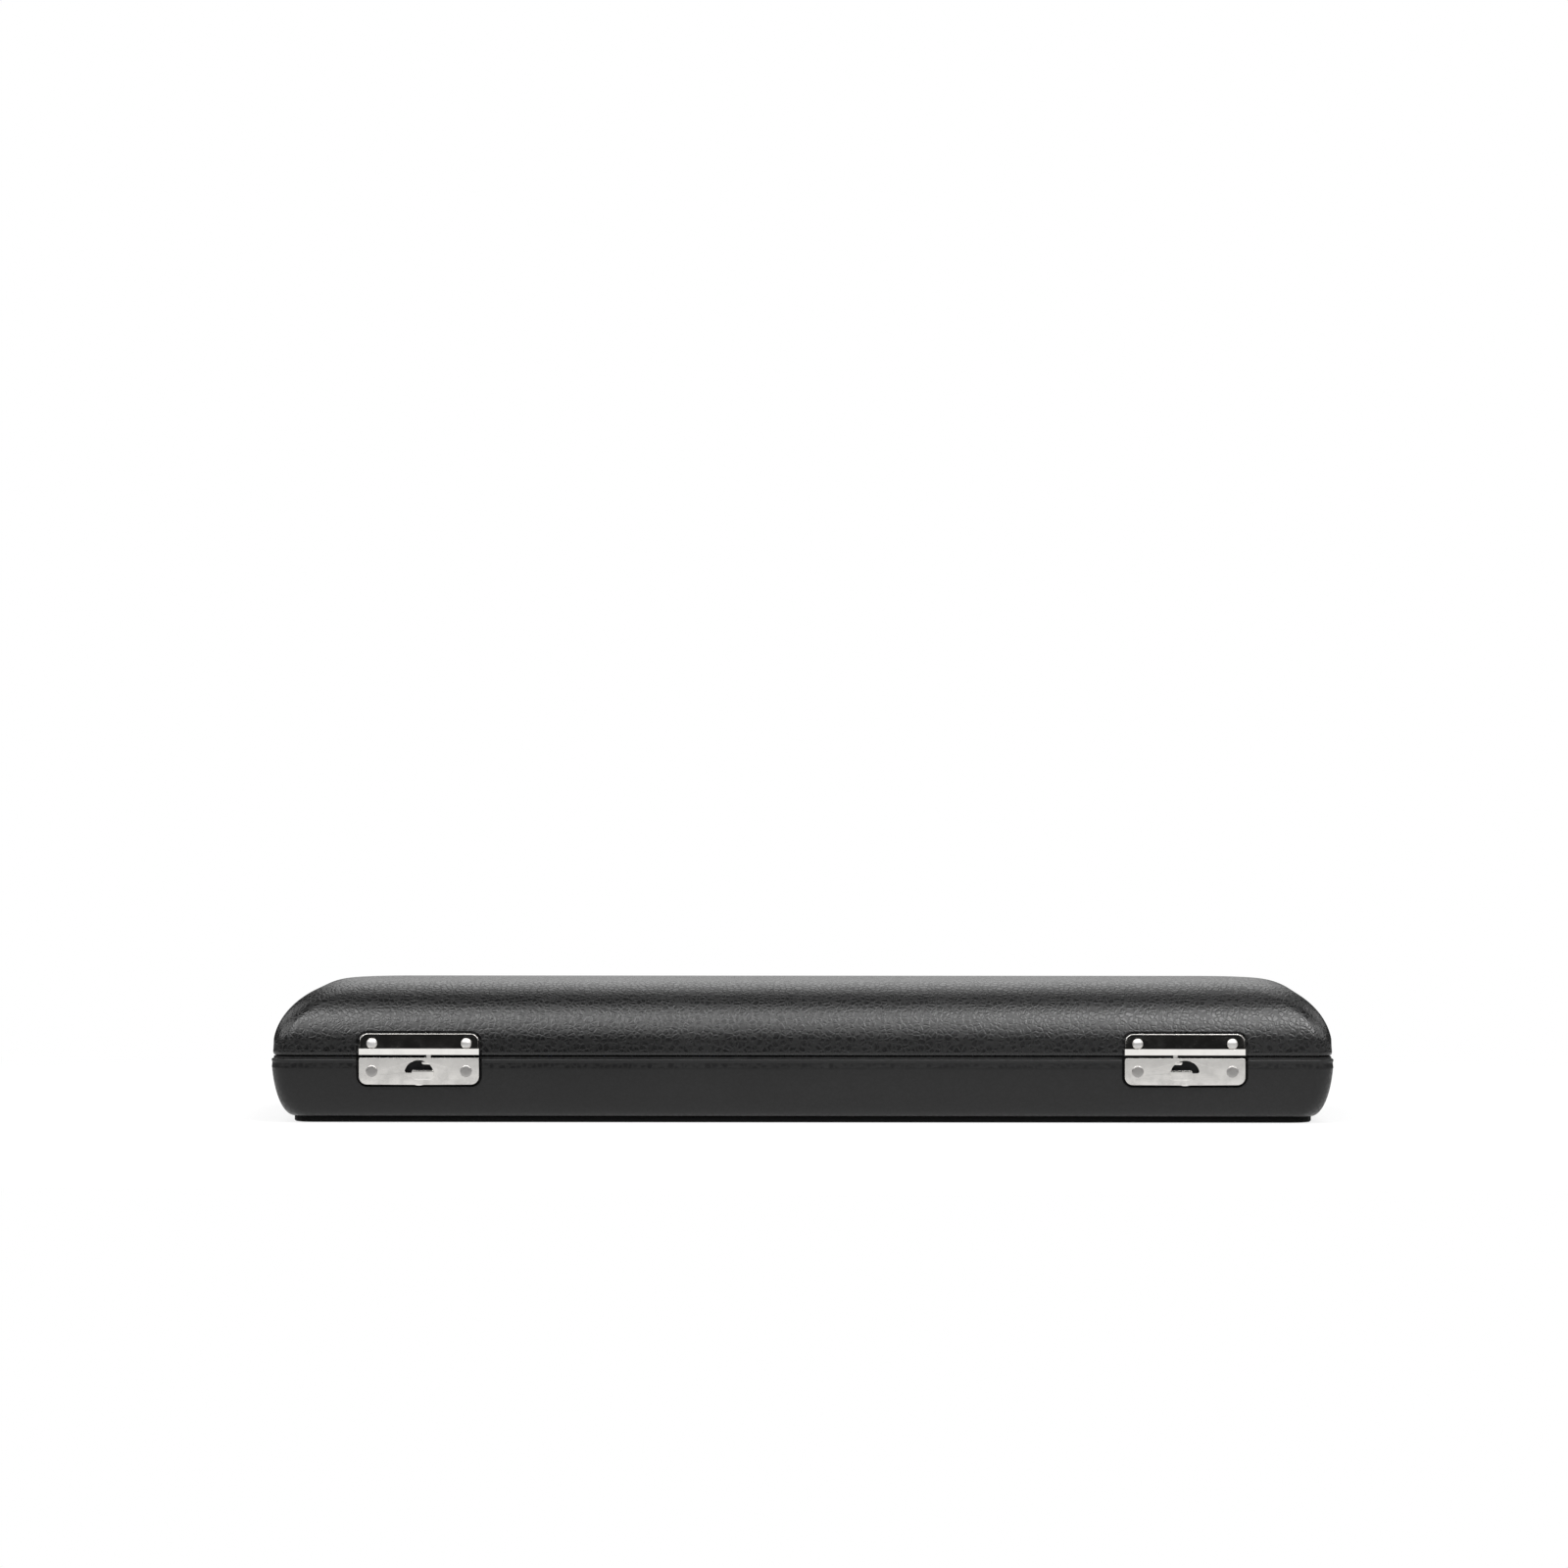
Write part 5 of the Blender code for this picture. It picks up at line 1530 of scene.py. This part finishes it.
@dataclass
class SlideLatch:
    """One slide latch: case, slider, spring and hook plate."""

    bench: Bench
    wires: WireTree
    side: str
    sign: int
    form: LatchForm = field(default_factory=LatchForm)
    case_form: CaseForm = field(default_factory=CaseForm)

    @property
    def tilt(self) -> float:
        """How far the lid's plate leans back: as the side of the lid does behind it.

        Returns:
            The angle.
        """
        case = self.case_form
        rise = case.rim + self.form.hook_top - case.lid_start
        share = rise / case.lid_rise
        return math.atan2(case.lid_across * (1 - math.sqrt(1 - share * share)), rise)

    @property
    def middle(self) -> float:
        """The latch's place along the case."""
        return -self.sign * self.form.spacing / 2

    @property
    def slider_body(self) -> Body:
        """The body of this latch's slider."""
        return Body.SLIDER_LEFT if self.side == "left" else Body.SLIDER_RIGHT

    def across(self, points: Sequence[Point2]) -> list[Point2]:
        """Takes points in u and height over the rim to X and Z."""
        rim = self.case_form.rim
        return [(self.middle + self.sign * u, rim + height) for u, height in points]

    def front_plate(
        self, name: str, outlines: Sequence[Sequence[Point2]], outer: float, inner: float,
        edge: float = 0.0,
    ) -> Object:
        """A plate that faces the front.

        Args:
            name: the object's name.
            outlines: its edge and its holes.
            outer: where its front is.
            inner: where its back is.
            edge: the radius of its edges.

        Returns:
            The object.
        """
        place = Matrix.Translation((0, -(outer + inner) / 2, 0)) @ FACING_FRONT
        lines = [self.across(line) for line in outlines]
        return self.bench.plate(f"{name}_{self.side}", lines, outer - inner, place, edge)

    def block(self, name: str, low: Point2, high: Point2, outer: float, inner: float) -> Object:
        """A block.

        Args:
            name: the object's name.
            low: its lower corner at its least u.
            high: its upper corner at its greatest u.
            outer: where its front is.
            inner: where its back is.

        Returns:
            The object.
        """
        left, right = sorted(x for x, _ in self.across([low, high]))
        bottom, top = self.case_form.rim + low[1], self.case_form.rim + high[1]
        ends = (left, -outer, bottom), (right, -inner, top)
        return self.bench.box(f"{name}_{self.side}", *ends)

    def case_outline(self) -> list[Point2]:
        """The outline of the latch case, with its nub.

        Returns:
            The outline.
        """
        form = self.form
        half, steps = form.width / 2, 10
        ends = (-half, form.bottom), (half, form.top)
        points = rounded_outline(*ends, form.corner, form.top_corner, steps)
        turns = [math.pi * step / form.nub_steps for step in range(1, form.nub_steps)]
        nub = [
            (-form.nub_width / 2 * math.cos(t), form.bottom - form.nub_drop * math.sin(t))
            for t in turns
        ]
        split = 3 * (steps + 1)
        return points[:split] + nub + points[split:]

    def window(self) -> list[Point2]:
        """The half-moon window.

        Returns:
            Its outline.
        """
        form = self.form
        points = [(form.window_half - form.window_corner, form.window_low)]
        for step in range(1, form.window_steps):
            turn = math.pi * step / form.window_steps
            rise = max(form.window_rise * math.sin(turn), form.window_corner)
            points.append((form.window_half * math.cos(turn), form.window_low + rise))
        return points + [(form.window_corner - form.window_half, form.window_low)]

    def case(self) -> None:
        """The stamped case, open at its top and hollow behind its front."""
        form = self.form
        lines = [self.case_outline(), self.window()]
        back = form.seat + form.seat_gap
        shell = self.front_plate("latch_case_metal", lines, form.front, back, form.edge)
        half = form.width / 2 - form.wall
        ends = (-half, form.bottom + form.wall), (half, form.top + form.seat_reach)
        room = rounded_outline(*ends, form.corner - form.wall, 0)
        inner, behind = form.front - form.plate, form.seat - form.seat_reach
        cutter = self.front_plate("latch_room", [room], inner, behind)
        shell = self.bench.combine(shell, [cutter], Operation.CUT)
        self.bench.metal(shell, NICKEL, Body.BASE, f"latch_case_{self.side}")

    def slider(self) -> None:
        """The slider, with the nose over the hook and the thumb tab in the window."""
        form = self.form
        front, back = form.slider_front, form.slider_back
        lines = [form.slider_outline]
        band = self.front_plate("latch_slider_metal", lines, front, back, form.slider_edge)
        tab_back = form.reach - form.tab_plate
        corners = form.tab_corner, form.tab_top_corner
        face = rounded_outline(form.tab_low, form.tab_high, *corners)
        tab = self.front_plate("thumb_tab", [face], form.reach, tab_back, form.edge)
        outer, inner = tab_back + form.overlap, front - form.overlap
        stem = self.block("thumb_stem", form.stem_low, form.stem_high, outer, inner)
        whole = self.bench.combine(band, [stem, tab], Operation.JOIN)
        self.bench.metal(whole, SLIDER_NICKEL, self.slider_body, f"latch_slider_{self.side}")

    def hook_point(self, u: float, rise: float, depth: float) -> Vector:
        """A point on the leaning plate of the lid.

        Args:
            u: its place across.
            rise: how far up the plate.
            depth: how far behind its front.

        Returns:
            The point.
        """
        inward = Vector((0, math.cos(self.tilt), -math.sin(self.tilt)))
        upward = Vector((0, math.sin(self.tilt), math.cos(self.tilt)))
        ((x, z),) = self.across([(u, self.form.lip_low)])
        return Vector((x, -self.form.hook_front, z)) + upward * rise + inward * depth

    def leaning(self, depth: float) -> Matrix:
        """Takes an outline to a plane that leans with the lid's plate, behind its front."""
        place = Matrix.Translation(self.hook_point(0, 0, depth))
        return place @ Matrix.Rotation(math.pi / 2 - self.tilt, 4, "X")

    def hook_length(self, height: float) -> float:
        """How far up the leaning plate a height over the rim lies."""
        return (height - self.form.lip_low) / math.cos(self.tilt)

    def lip(self) -> Object:
        """The leaning lip under the lid's plate.

        Returns:
            The object.
        """
        form = self.form
        half = form.width / 2
        (left, low), (right, _) = sorted(self.across([(-half, form.lip_low), (half, form.lip_low)]))
        back, top = form.lip_depth - form.front, low + form.lip_height
        section = [
            (back, low), (form.lip_lean - form.front, low), (-form.front, top - form.lip_edge),
            (form.lip_edge - form.front, top), (back, top),
        ]
        rings = [[(x, y, z) for y, z in section] for x in (left, right)]
        return self.bench.loft(f"hook_lip_{self.side}", rings)

    def hook_plate(self) -> None:
        """The lid's plate: leaning face, rolled rim, lip and hook."""
        form = self.form
        half = form.width / 2 - form.roll - form.roll_inset
        high = self.hook_length(form.hook_top) - form.roll
        corner = form.hook_corner - form.roll
        edge = rounded_outline((-half, form.hook_low), (half, high), 0, corner)
        place, thickness = self.leaning(form.hook_plate / 2), form.hook_plate
        face = self.bench.plate(f"latch_hook_metal_{self.side}", [edge], thickness, place)
        lip = self.lip()
        run = [(half, form.roll_low)]
        run += arc((half - corner, high - corner), corner, 0, 90, 12)
        run += arc((corner - half, high - corner), corner, 90, 180, 12)
        run += [(-half, form.roll_low)]
        points = [self.hook_point(u, rise, form.roll_depth) for u, rise in run]
        roll = self.wires.sweep(f"hook_roll_{self.side}", points, form.roll, NICKEL)
        front, back = form.slider_front, form.slider_back
        tongue = self.front_plate("hook_tongue", [form.hook_outline], front, back, form.edge)
        whole = self.bench.combine(face, [lip, roll, tongue], Operation.JOIN)
        self.bench.metal(whole, HOOK_NICKEL, Body.LID, f"latch_hook_plate_{self.side}")

    def spring(self) -> None:
        """The zigzag spring between the post and the slider's tail, which its joint flattens."""
        form = self.form
        depth = (form.slider_front + form.slider_back) / 2
        points = []
        for step in range(form.spring_steps + 1):
            share = step / form.spring_steps
            swing = form.spring_swing * math.sin(math.pi * form.spring_limbs * share)
            u = form.spring_start + (form.spring_end - form.spring_start) * share
            ((x, z),) = self.across([(u, swing + form.spring_height)])
            points.append(Vector((x, -depth, z)))
        name, node = f"latch_spring_wire_{self.side}", f"latch_spring_{self.side}"
        coil = self.wires.sweep(name, points, form.spring_wire, SPRING_WIRE, sides=10)
        self.bench.finish(coil, SPRING_WIRE, Body.BASE, Slot.SPRING_STEEL, [node])
        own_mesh(coil)

    def base_seat(self) -> Object:
        """What is cut out of the base's leather for the latch case.

        Returns:
            The cutter.
        """
        form = self.form
        half = form.width / 2 + form.seat_margin
        ends = (-half, form.bottom - form.seat_margin), (half, form.seat_reach)
        edge = rounded_outline(*ends, form.corner + form.seat_margin, 0)
        return self.front_plate("base_seat", [edge], form.seat_front, form.seat)

    def lid_seats(self) -> list[Object]:
        """What is cut out of the lid's leather for the hook plate.

        Returns:
            The cutters.
        """
        form = self.form
        half = form.width / 2 + form.seat_margin
        high = self.hook_length(form.hook_top) + form.seat_margin
        corner, thickness = form.hook_corner + form.seat_margin, form.seat_reach
        edge = rounded_outline((-half, -form.seat_reach), (half, high), 0, corner)
        place = self.leaning(form.hook_plate + form.seat_gap - thickness / 2)
        flat = self.bench.plate(f"lid_seat_{self.side}", [edge], thickness, place)
        back = form.slider_back - form.seat_gap
        ends = form.hook_room_low, form.hook_room_high
        return [flat, self.block("hook_seat", *ends, form.seat_front, back)]

    def case_rivets(self) -> list[Aimed]:
        """The places of the rivets in the latch case.

        Returns:
            Each place and the way that the head faces.
        """
        form = self.form
        spread = (-form.rivet_place, form.rivet_place)
        places = self.across([(u, form.rivet_height) for u in spread])
        return [(Vector((x, -form.front, z)), Vector((0, -1, 0))) for x, z in places]

    def hook_rivets(self) -> list[Aimed]:
        """The places of the rivets in the lid's plate.

        Returns:
            Each place and the way that the head faces.
        """
        aim = Vector((0, -math.cos(self.tilt), math.sin(self.tilt)))
        rise = self.hook_length(self.form.hook_rivet_height)
        spread = (-self.form.rivet_place, self.form.rivet_place)
        return [(self.hook_point(u, rise, 0.0), aim) for u in spread]

    def build(self) -> None:
        """Makes the latch's pieces."""
        self.case()
        self.slider()
        self.hook_plate()
        self.spring()


@dataclass
class Hinge:
    """One hinge at the back: two leaves with knuckles."""

    bench: Bench
    side: str
    middle: float
    axis_y: float = 0.0481
    axis_z: float = 0.024304
    width: float = 0.024
    leaf: float = 0.0008
    leaf_height: float = 0.0072
    corner: float = 0.0015
    knuckle: float = 0.0013
    bore: float = 0.0007
    bore_over: float = 0.002
    lid_knuckle: float = 0.008
    gap: float = 0.0003
    neck_low: float = 0.00043
    opening: float = 100.0
    spur_lean: float = 10.0
    spur_reach: float = 0.0021
    spur_inset: float = 0.0004
    spur_lift: float = 0.0001
    seat_margin: float = 0.0006
    seat_back: float = 0.0525
    seat_leaf: float = 0.0078
    seat_knuckle: float = 0.0036
    rivet_spread: float = 0.0075
    rivet_offset: float = 0.0046
    rivet_head: Point3 = (0.0015, 0.0006, 2.4)

    def on_axis(self, x: float) -> Point3:
        """A point on the hinge's axis, at a distance from the hinge's middle."""
        return (self.middle + x, self.axis_y, self.axis_z)

    def leaf_plate(self, name: str, sign: int, necks: Sequence[Point2]) -> Object:
        """A leaf with its knuckles.

        Args:
            name: the object's name.
            sign: 1 for the lid's leaf and -1 for the base's.
            necks: where along the hinge its knuckles are.

        Returns:
            The object.
        """
        half = self.width / 2
        shoulder = self.knuckle + self.gap
        top = self.leaf_height - self.corner
        points = arc((half - self.corner, top), self.corner, 0, 90, 8)
        points += arc((self.corner - half, top), self.corner, 90, 180, 8)
        points.append((-half, shoulder + self.gap))
        for left, right in necks:
            left, right = left + self.gap, right - self.gap
            low = self.neck_low
            points += [(left, shoulder), (left, low), (right, low), (right, shoulder)]
        points.append((half, shoulder + self.gap))
        outline = [(self.middle + x, self.axis_z + sign * z) for x, z in points]
        middle_y = self.axis_y - self.knuckle + self.leaf / 2
        place = Matrix.Translation((0, middle_y, 0)) @ FACING_FRONT
        plate = self.bench.plate(name, [outline], self.leaf, place)
        barrels = []
        for left, right in necks:
            ends = self.on_axis(left), self.on_axis(right)
            barrels.append(self.bench.rod(f"{name}_knuckle", self.knuckle, *ends))
        return self.bench.combine(plate, barrels, Operation.JOIN)

    def stop_spur(self) -> Object:
        """The spur that meets the base's leaf when the lid is fully open.

        Returns:
            The object.
        """
        lean = math.radians(self.spur_lean)
        face = self.leaf - self.knuckle + self.spur_lift
        reach = (self.spur_reach + face * math.sin(lean)) / math.cos(lean)
        half = self.lid_knuckle / 2 - self.spur_inset
        ends = (-half, face, -reach), (half, face + self.leaf, -self.leaf)
        spur = self.bench.box(f"stop_spur_{self.side}", *ends)
        turn = Matrix.Rotation(math.radians(self.opening), 4, "X")
        spur.data.transform(Matrix.Translation(self.on_axis(0.0)) @ turn)
        return spur

    def bored(self, leaf: Object) -> Object:
        """Bores a leaf's knuckles for the pin.

        Args:
            leaf: the leaf.

        Returns:
            The bored leaf.
        """
        half = self.width / 2 + self.bore_over
        ends = self.on_axis(-half), self.on_axis(half)
        tool = self.bench.rod(f"pin_bore_{self.side}", self.bore, *ends, 24)
        return self.bench.combine(leaf, [tool], Operation.CUT)

    def build(self) -> None:
        """Makes both leaves."""
        half, middle = self.width / 2, self.lid_knuckle / 2
        outer = middle + self.gap
        necks = [(-half, -outer), (outer, half)]
        leaf = self.bored(self.leaf_plate(f"hinge_base_leaf_metal_{self.side}", -1, necks))
        self.bench.metal(leaf, HINGE_NICKEL, Body.BASE, f"hinge_base_leaf_{self.side}")
        leaf = self.leaf_plate(f"hinge_lid_leaf_metal_{self.side}", 1, [(-middle, middle)])
        leaf = self.bored(self.bench.combine(leaf, [self.stop_spur()], Operation.JOIN))
        self.bench.metal(leaf, HINGE_NICKEL, Body.LID, f"hinge_lid_leaf_{self.side}")

    def seat(self, below: float, above: float) -> Object:
        """What is cut out of the leather for a leaf.

        Args:
            below: how far under the axis it goes.
            above: how far over it.

        Returns:
            The cutter.
        """
        half = self.width / 2 + self.seat_margin
        inner = self.axis_y - self.knuckle - self.gap
        return self.bench.box(
            f"hinge_seat_{self.side}", (self.middle - half, inner, self.axis_z - below),
            (self.middle + half, self.seat_back, self.axis_z + above),
        )

    def rivets(self, sign: int) -> list[Aimed]:
        """The places of a leaf's rivets.

        Args:
            sign: 1 for the lid's leaf and -1 for the base's.

        Returns:
            Each place and the way that the head faces.
        """
        y = self.axis_y - self.knuckle + self.leaf
        z = self.axis_z + sign * self.rivet_offset
        spread = (-self.rivet_spread, self.rivet_spread)
        return [(Vector((self.middle + x, y, z)), Vector((0, 1, 0))) for x in spread]


@dataclass
class Studio:
    """Floor, light and camera."""

    distance: float = 2.04
    elevation: float = 3.40
    yaw: float = 0.76
    focus: float = 5699.0
    pixels: float = 1600.0
    centre: Point2 = (819.86, 1078.9)
    target_height: float = 0.0209
    sensor: float = 36.0
    clip: Point2 = (0.05, 60.0)
    floor_half: float = 12.0
    floor_height: float = -0.0002
    light_aim: Point3 = (0, 0, 0.02)
    key_distance: float = 1.5
    key_rise: float = 57.0
    keys: tuple[tuple[str, float, float], ...] = (
        ("core", 0.7, 1.8), ("middle", 1.3, 1.9), ("edge", 1.75, 0.9),
    )
    key_width: float = 1.7
    ends: tuple[tuple[str, float, float], ...] = (("left", -0.6, 6.5), ("right", 0.52, 9.0))
    end_place: Point2 = (-0.8, 1.27)
    end_size: Point2 = (0.5, 1.0)
    fills: tuple[tuple[str, Point3, Point2, float], ...] = (
        ("corner", (1.25, -0.2, 0.95), (0.9, 0.8), 3.0),
        ("side", (1.0, 0.85, 0.85), (0.7, 0.7), 1.2),
    )

    def camera(self) -> None:
        """The camera at the photograph's angle."""
        turn, rise = math.radians(self.yaw), math.radians(self.elevation)
        level = math.cos(rise)
        away = Vector((math.sin(turn) * level, -math.cos(turn) * level, math.sin(rise)))
        target = Vector((0, 0, self.target_height))
        data = bpy.data.cameras.new("camera")
        data.sensor_width = self.sensor
        data.lens = self.focus / self.pixels * self.sensor
        data.shift_x = (self.pixels / 2 - self.centre[0]) / self.pixels
        data.shift_y = (self.centre[1] - self.pixels / 2) / self.pixels
        data.clip_start, data.clip_end = self.clip
        obj = put("camera", data)
        obj.location = target + away * self.distance
        obj.rotation_euler = (-away).to_track_quat("-Z", "Y").to_euler()
        bpy.context.scene.camera = obj

    def softbox(self, name: str, place: Point3, size: Point2, radiance: float) -> None:
        """A rectangular soft light that points at the case.

        Args:
            name: its name.
            place: where it hangs.
            size: its width and height.
            radiance: how bright its face is.
        """
        data = bpy.data.lights.new(name, "AREA")
        data.shape = "RECTANGLE"
        data.size, data.size_y = size
        data.energy = radiance * math.pi * size[0] * size[1]
        obj = put(name, data)
        obj.location = place
        way = Vector(self.light_aim) - Vector(place)
        obj.rotation_euler = way.to_track_quat("-Z", "Y").to_euler()

    def floor(self) -> None:
        """A pale floor that keeps a soft shadow; a mirror sees it dim far in front and behind."""
        bm = bmesh.new()
        bmesh.ops.create_grid(bm, x_segments=2, y_segments=2, size=self.floor_half)
        obj = put_mesh("floor", bm)
        obj.location = (0, 0, self.floor_height)
        material = bpy.data.materials.new("floor_finish")
        material.use_nodes = True
        tree = Shade(material.node_tree)
        place = tree.coordinates()
        paint = tree.mix(tree.noise(place, 30.0, 3.0), (0.86, 0.86, 0.86), (0.90, 0.90, 0.90))
        diffuse = tree.node("ShaderNodeBsdfDiffuse", {}, {"Color": paint})
        camera, glossy = tree.rays()
        away = tree.vector("LENGTH", tree.stretched(place, (0.35, 1.0, 1.0)), output=1)
        back = tree.parts(place)[1]
        mirrored = 1.0 - (back * -1).step(0.26, 0.5) * 0.6 - back.step(0.12, 0.32) * 0.88
        values = {"Color": (1, 1, 1, 1), "Strength": camera + glossy * mirrored}
        glow = tree.node("ShaderNodeEmission", {}, values)
        share = camera * (0.80 + away.step(0.08, 0.35) * 0.20) + glossy
        mixed = tree.node("ShaderNodeMixShader", {}, {0: share, 1: diffuse, 2: glow})
        tree.node("ShaderNodeOutputMaterial", {}, {"Surface": mixed})
        obj.data.materials.append(material)

    def world(self) -> None:
        """White to the camera; else dark, with a pale patch high behind the case."""
        world = bpy.data.worlds.new("studio")
        world.use_nodes = True
        bpy.context.scene.world = world
        tree = Tree(world.node_tree)
        across, back, up = tree.parts(tree.node("ShaderNodeTexCoord", output="Generated"))
        rise = up.step(0.0, 0.7) * 1.2 + 0.6
        patch = back.step(0.05, 0.3) * (1 - across.maths("ABSOLUTE").step(0.10, 0.22))
        behind = patch * up.step(0.0, 0.05) * (1 - up.step(0.70, 0.98)) * rise
        camera, _ = tree.rays()
        strength = (0.012 + behind) * (1 - camera) + camera
        values = {"Color": (1, 1, 1, 1), "Strength": strength}
        sky = tree.node("ShaderNodeBackground", {}, values)
        tree.node("ShaderNodeOutputWorld", {}, {"Surface": sky})

    def lights(self) -> None:
        """A key light over the front in three layers, and lights for the ends and the corners."""
        rise = math.radians(self.key_rise)
        place = (0, -self.key_distance * math.cos(rise), self.key_distance * math.sin(rise))
        for name, height, radiance in self.keys:
            self.softbox(f"key_{name}", place, (self.key_width, height), radiance)
        for name, side, radiance in self.ends:
            self.softbox(f"key_{name}", (side, *self.end_place), self.end_size, radiance)
            for kind, (x, y, z), size, level in self.fills:
                place = (math.copysign(x, side), y, z)
                self.softbox(f"{kind}_{name}", place, size, level)

    def build(self) -> None:
        """Sets the studio up."""
        bpy.context.scene.view_settings.view_transform = "Standard"
        self.camera()
        self.floor()
        self.world()
        self.lights()


@dataclass
class PiccoloCase:
    """The whole case."""

    frame: dict
    bench: Bench = field(default_factory=Bench)
    form: CaseForm = field(default_factory=CaseForm)

    def dress(self, node: str, finish: Finish) -> None:
        """Gives a node of the model that stays its finish.

        Args:
            node: the node.
            finish: its finish.
        """
        materials = self.frame["nodes"][node].data.materials
        materials.clear()
        materials.append(finish.material())
        LOG.info("%s keeps the model's form", node)

    def rivets(self, latches: Sequence[SlideLatch], hinges: Sequence[Hinge]) -> None:
        """Makes all the rivet heads, a piece for each kind and body.

        Args:
            latches: the latches.
            hinges: the hinges.
        """
        tree = RivetTree(self.bench)
        form, hinge_head = latches[0].form, hinges[0].rivet_head
        case_places = [place for latch in latches for place in latch.case_rivets()]
        hook_places = [place for latch in latches for place in latch.hook_rivets()]
        base_places, lid_places = (
            [place for hinge in hinges for place in hinge.rivets(sign)] for sign in (-1, 1)
        )
        for stem, places, sizes, body, finish in (
            ("latch_case_rivet", case_places, form.rivet_head, Body.BASE, CASE_RIVET_NICKEL),
            ("latch_hook_rivet", hook_places, form.hook_rivet_head, Body.LID, RIVET_NICKEL),
            ("hinge_base_rivet", base_places, hinge_head, Body.BASE, RIVET_NICKEL),
            ("hinge_lid_rivet", lid_places, hinge_head, Body.LID, RIVET_NICKEL),
        ):
            nodes = [f"{stem}_{side}_{number}" for side in SIDES for number in (1, 2)]
            heads = tree.heads(f"{stem}_heads", places, sizes, finish)
            self.bench.finish(heads, finish, body, Slot.NICKEL, nodes, 50.0)

    def build(self) -> None:
        """Makes every piece, in order."""
        wires = WireTree(self.bench)
        latches = [SlideLatch(self.bench, wires, side, sign) for side, sign in SIDES.items()]
        hinges = [Hinge(self.bench, latch.side, latch.middle) for latch in latches]
        leaf, knuckle = hinges[0].seat_leaf, hinges[0].seat_knuckle
        skins = Skins(self.bench, self.form)
        cuts = [latch.base_seat() for latch in latches]
        skins.base(cuts + [hinge.seat(leaf, knuckle) for hinge in hinges])
        cuts = [cutter for latch in latches for cutter in latch.lid_seats()]
        skins.lid(cuts + [hinge.seat(knuckle, leaf) for hinge in hinges])
        for part in (*latches, *hinges):
            part.build()
        self.rivets(latches, hinges)
        FittedBed(self.bench, self.form, self.frame).build()
        LidPad(self.bench, self.form).build()
        for node in ("base_shell", "lid_shell"):
            self.dress(node, BOARD)
        self.dress("base_bottom_panel", COVERED_PANEL)
        for side in SIDES:
            self.dress(f"latch_back_plate_{side}", LATCH_INSIDE)
            self.dress(f"hinge_pin_{side}", HINGE_NICKEL)


def main() -> None:
    """Builds the studio and the case."""
    logging.basicConfig(level=logging.INFO, format="%(name)s %(message)s")
    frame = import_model()
    Studio().build()
    case = PiccoloCase(frame)
    case.build()
    LOG.info("%d pieces", len(case.bench.pieces))


if __name__ == "__main__":
    main()
